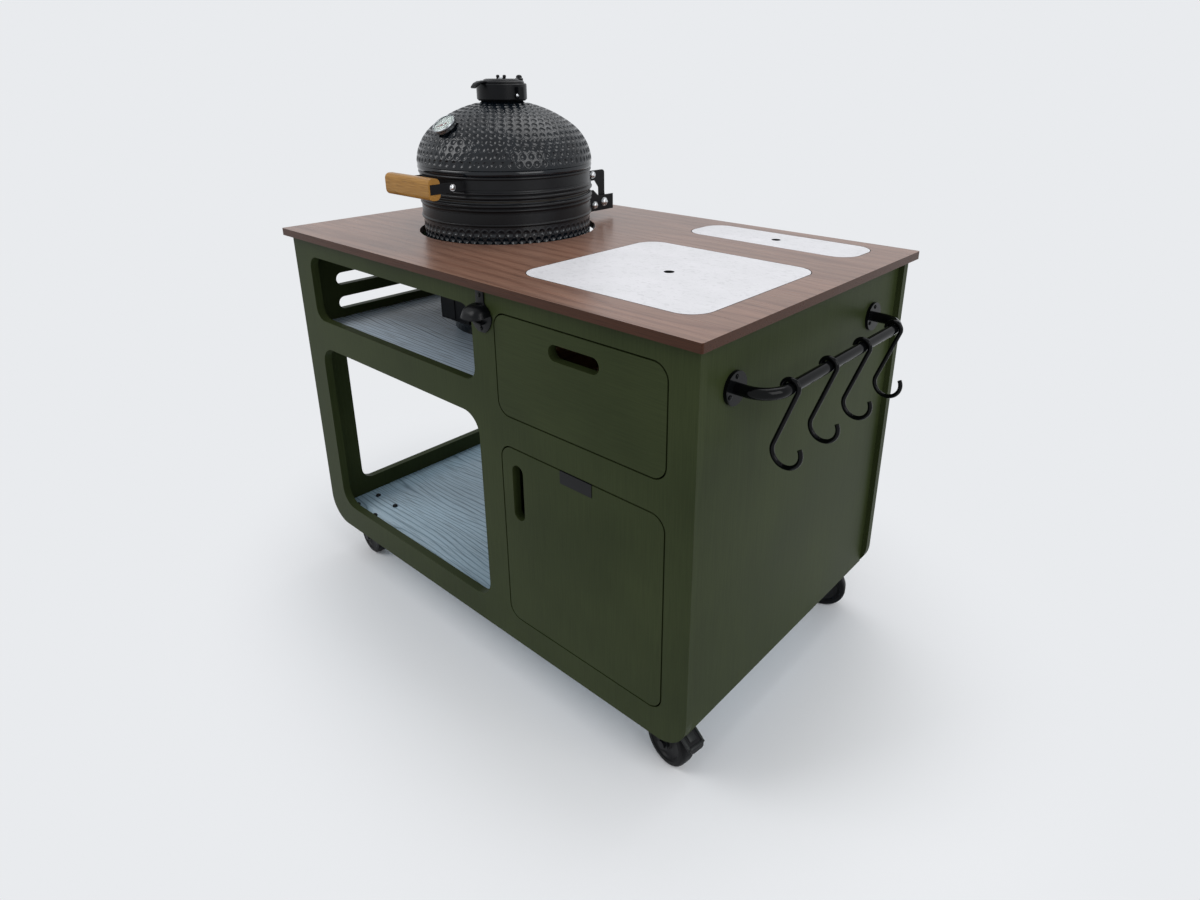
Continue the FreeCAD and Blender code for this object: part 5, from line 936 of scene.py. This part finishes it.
def opener_hood():
    """The hood that catches the cap: a visor with square shoulders, a rolled front rim and an open back."""
    rings, columns = 22, 49
    half_width, depth, top, wall = 27.5, 32, 21.5, 4
    points = []
    for inset in (0, wall):
        for ring in range(rings):
            level = ring / (rings - 1)
            rim = 1 + 0.05 * max(level - 0.86, 0) / 0.14
            swell = (0.22 + 0.78 * math.sin(math.pi / 2 * level) ** 0.9) * rim
            for column in range(columns):
                turn = math.pi * column / (columns - 1)
                square = math.copysign(abs(math.cos(turn)) ** 0.6, math.cos(turn))
                across = square * (half_width * swell - inset)
                out = math.sin(turn) ** 0.75 * (depth * swell - inset)
                rise = top - inset * (1 - level) - 23 * level ** 1.8 + 5 * level * (1 - math.sin(turn))
                points.append((across * MM, -out * MM, rise * MM))
    half = rings * columns
    faces = []
    for ring in range(rings - 1):
        for column in range(columns - 1):
            here = ring * columns + column
            faces.append((here, here + 1, here + columns + 1, here + columns))
            faces.append((half + here, half + here + columns, half + here + columns + 1, half + here + 1))
    for column in range(columns - 1):
        low = (rings - 1) * columns + column
        faces.append((low, low + 1, half + low + 1, half + low))
        faces.append((column, half + column, half + column + 1, column + 1))
    for column in (0, columns - 1):
        for ring in range(rings - 1):
            here = ring * columns + column
            faces.append((here, here + columns, half + here + columns, half + here))
    return shade(add_mesh("hood", points, faces, painted_iron), at(OPENER_X, -354.5, OPENER_Z), 40)


def bottle_opener():
    """A cast opener: the plate, its hood and the lip that lifts the cap."""
    place = at(OPENER_X, -352, OPENER_Z, (90, "X"))
    plate = pressed("plate", leaf_outline(), 0, 3, place, painted_iron, 0.8)
    ridge = pressed("ridge", [(-3, -3), (0, -27), (3, -3)], 2.6, 4.2, place, painted_iron, 0.7)
    lip = pressed("lip", [(-10, -15.5), (10, -15.5), (10, -11.5), (-10, -11.5)], 2, 12.5, place,
                  painted_iron, 0.9)
    opener = merge("cast_opener", [plate, ridge, lip, opener_hood()])
    settle_on(opener, "table", "black_iron", "bottle_opener")


# Studio, in metres

PAPER = "E9EBEE"
FLOOR_PAPER = "F7F8FA"
FLOOR_HALF = 7.0
FLOOR_FADE = (0.5, 1.05)
LIGHT_LEVEL = 0.55


def paper_floor():
    """White paper floor that fades into the paper backdrop away from the table."""
    material, tree = new_material("white paper floor")
    shader = tree.nodes["Principled BSDF"]
    set_inputs(tree, shader, {"Base Color": srgb(FLOOR_PAPER), "Roughness": 0.9})
    place = node(tree, "TexCoord").outputs["Object"]
    squeezed = node(tree, "Mapping", {"Vector": place, "Scale": (0.85, 1.15, 1.0)})
    reach = node(tree, "VectorMath", {0: squeezed.outputs["Vector"]}, operation="LENGTH")
    fade = node(tree, "MapRange", {"Value": reach.outputs["Value"], "From Min": FLOOR_FADE[0],
                                   "From Max": FLOOR_FADE[1]}, interpolation_type="SMOOTHSTEP")
    backdrop = node(tree, "Emission", {"Color": srgb(PAPER), "Strength": 1.0})
    mixed = node(tree, "MixShader", {"Fac": fade.outputs["Result"]})
    tree.links.new(shader.outputs["BSDF"], mixed.inputs[1])
    tree.links.new(backdrop.outputs["Emission"], mixed.inputs[2])
    tree.links.new(mixed.outputs["Shader"], tree.nodes["Material Output"].inputs["Surface"])
    corners = [(FLOOR_HALF * x, FLOOR_HALF * y, 0) for x, y in ((-1, -1), (1, -1), (1, 1), (-1, 1))]
    add_mesh("paper floor", corners, [(0, 1, 2, 3)], material)


def studio_world():
    """Even light from all sides; the camera, gloss and glass see the white paper backdrop."""
    world = bpy.data.worlds.new("studio")
    bpy.context.scene.world = world
    world.use_nodes = True
    tree = world.node_tree
    ray = node(tree, "LightPath").outputs
    seen = maths(tree, "MAXIMUM", ray["Is Camera Ray"], ray["Is Glossy Ray"])
    clear = maths(tree, "MAXIMUM", seen, ray["Is Transmission Ray"])
    set_inputs(tree, tree.nodes["Background"], {"Color": srgb(PAPER),
                                                "Strength": remap(tree, clear, LIGHT_LEVEL, 1.0)})


def soft_box(name, place, aim, size, power):
    """A square area lamp turned to a point."""
    lamp = bpy.data.lights.new(name, "AREA")
    lamp.shape = "SQUARE"
    lamp.size = size
    lamp.energy = power
    made = add_object(name, lamp)
    made.location = place
    made.rotation_euler = (Vector(aim) - Vector(place)).to_track_quat("-Z", "Y").to_euler()


# The photograph's camera, found from the worktop's corners.
CAMERA_PLACE = (1.1293, -1.1732, 1.2287)
CAMERA_YAW = 41.19
CAMERA_PITCH = 21.01
CAMERA_ROLL = 0.17
CAMERA_LENS = 22.98
CAMERA_SENSOR = 36
CAMERA_SHIFT = (-0.0217, -0.0734)


def photo_camera():
    lens = bpy.data.cameras.new("photo camera")
    lens.lens = CAMERA_LENS
    lens.sensor_width = CAMERA_SENSOR
    lens.shift_x, lens.shift_y = CAMERA_SHIFT
    camera = add_object("photo camera", lens)
    camera.matrix_world = (
        Matrix.Translation(CAMERA_PLACE)
        @ Matrix.Rotation(math.radians(CAMERA_YAW), 4, "Z")
        @ Matrix.Rotation(math.radians(90 - CAMERA_PITCH), 4, "X")
        @ Matrix.Rotation(math.radians(CAMERA_ROLL), 4, "Z"))
    bpy.context.scene.camera = camera


# The pieces in place

dome = dimpled_dome()
cut(dome, rod("cutter", 4.4, -40, 30, DIAL, glaze, 32))
settle_on(dome, "kamado_lid", "glazed_ceramic", "dome_shell")
base = dimpled_base()
cut(base, box_cutter((-50.3, -230, SHELF_TOP + 37.7), (50.3, -60, SHELF_TOP + 98.3)))
settle_on(base, "table", "glazed_ceramic", "kamado_base")
settle_on(clamp_band("band_below_the_seam", -1), "table", "black_steel", "lower_band")
settle_on(clamp_band("band_above_the_seam", 1), "kamado_lid", "black_steel", "upper_band")
thermometer()
vent()
hinge_bolts()
kamado_lid_bolts()
board_screws()
for number, place in enumerate(HOOK_PLACES, 1):
    rail_hook(number, place)
shelf_bolts()
bottle_opener()
for name, (x, y, turn) in CASTORS.items():
    castor = at(x, y, 0, (turn, "Z"))
    castor_wheel(name, castor)
    castor_trim(name, castor)
    if name.startswith("front"):
        pedal_tread(name, castor)

paper_floor()
studio_world()
soft_box("key soft box", (-1.6, -2.4, 2.9), (0, 0, 0.5), 1.8, 42)
soft_box("side soft box", (2.8, -0.4, 2.2), (0, 0, 0.5), 1.8, 34)
soft_box("top soft box", (0.0, 0.9, 3.2), (0, 0, 0.9), 2.0, 26)
photo_camera()
bpy.context.scene.view_settings.view_transform = "Standard"
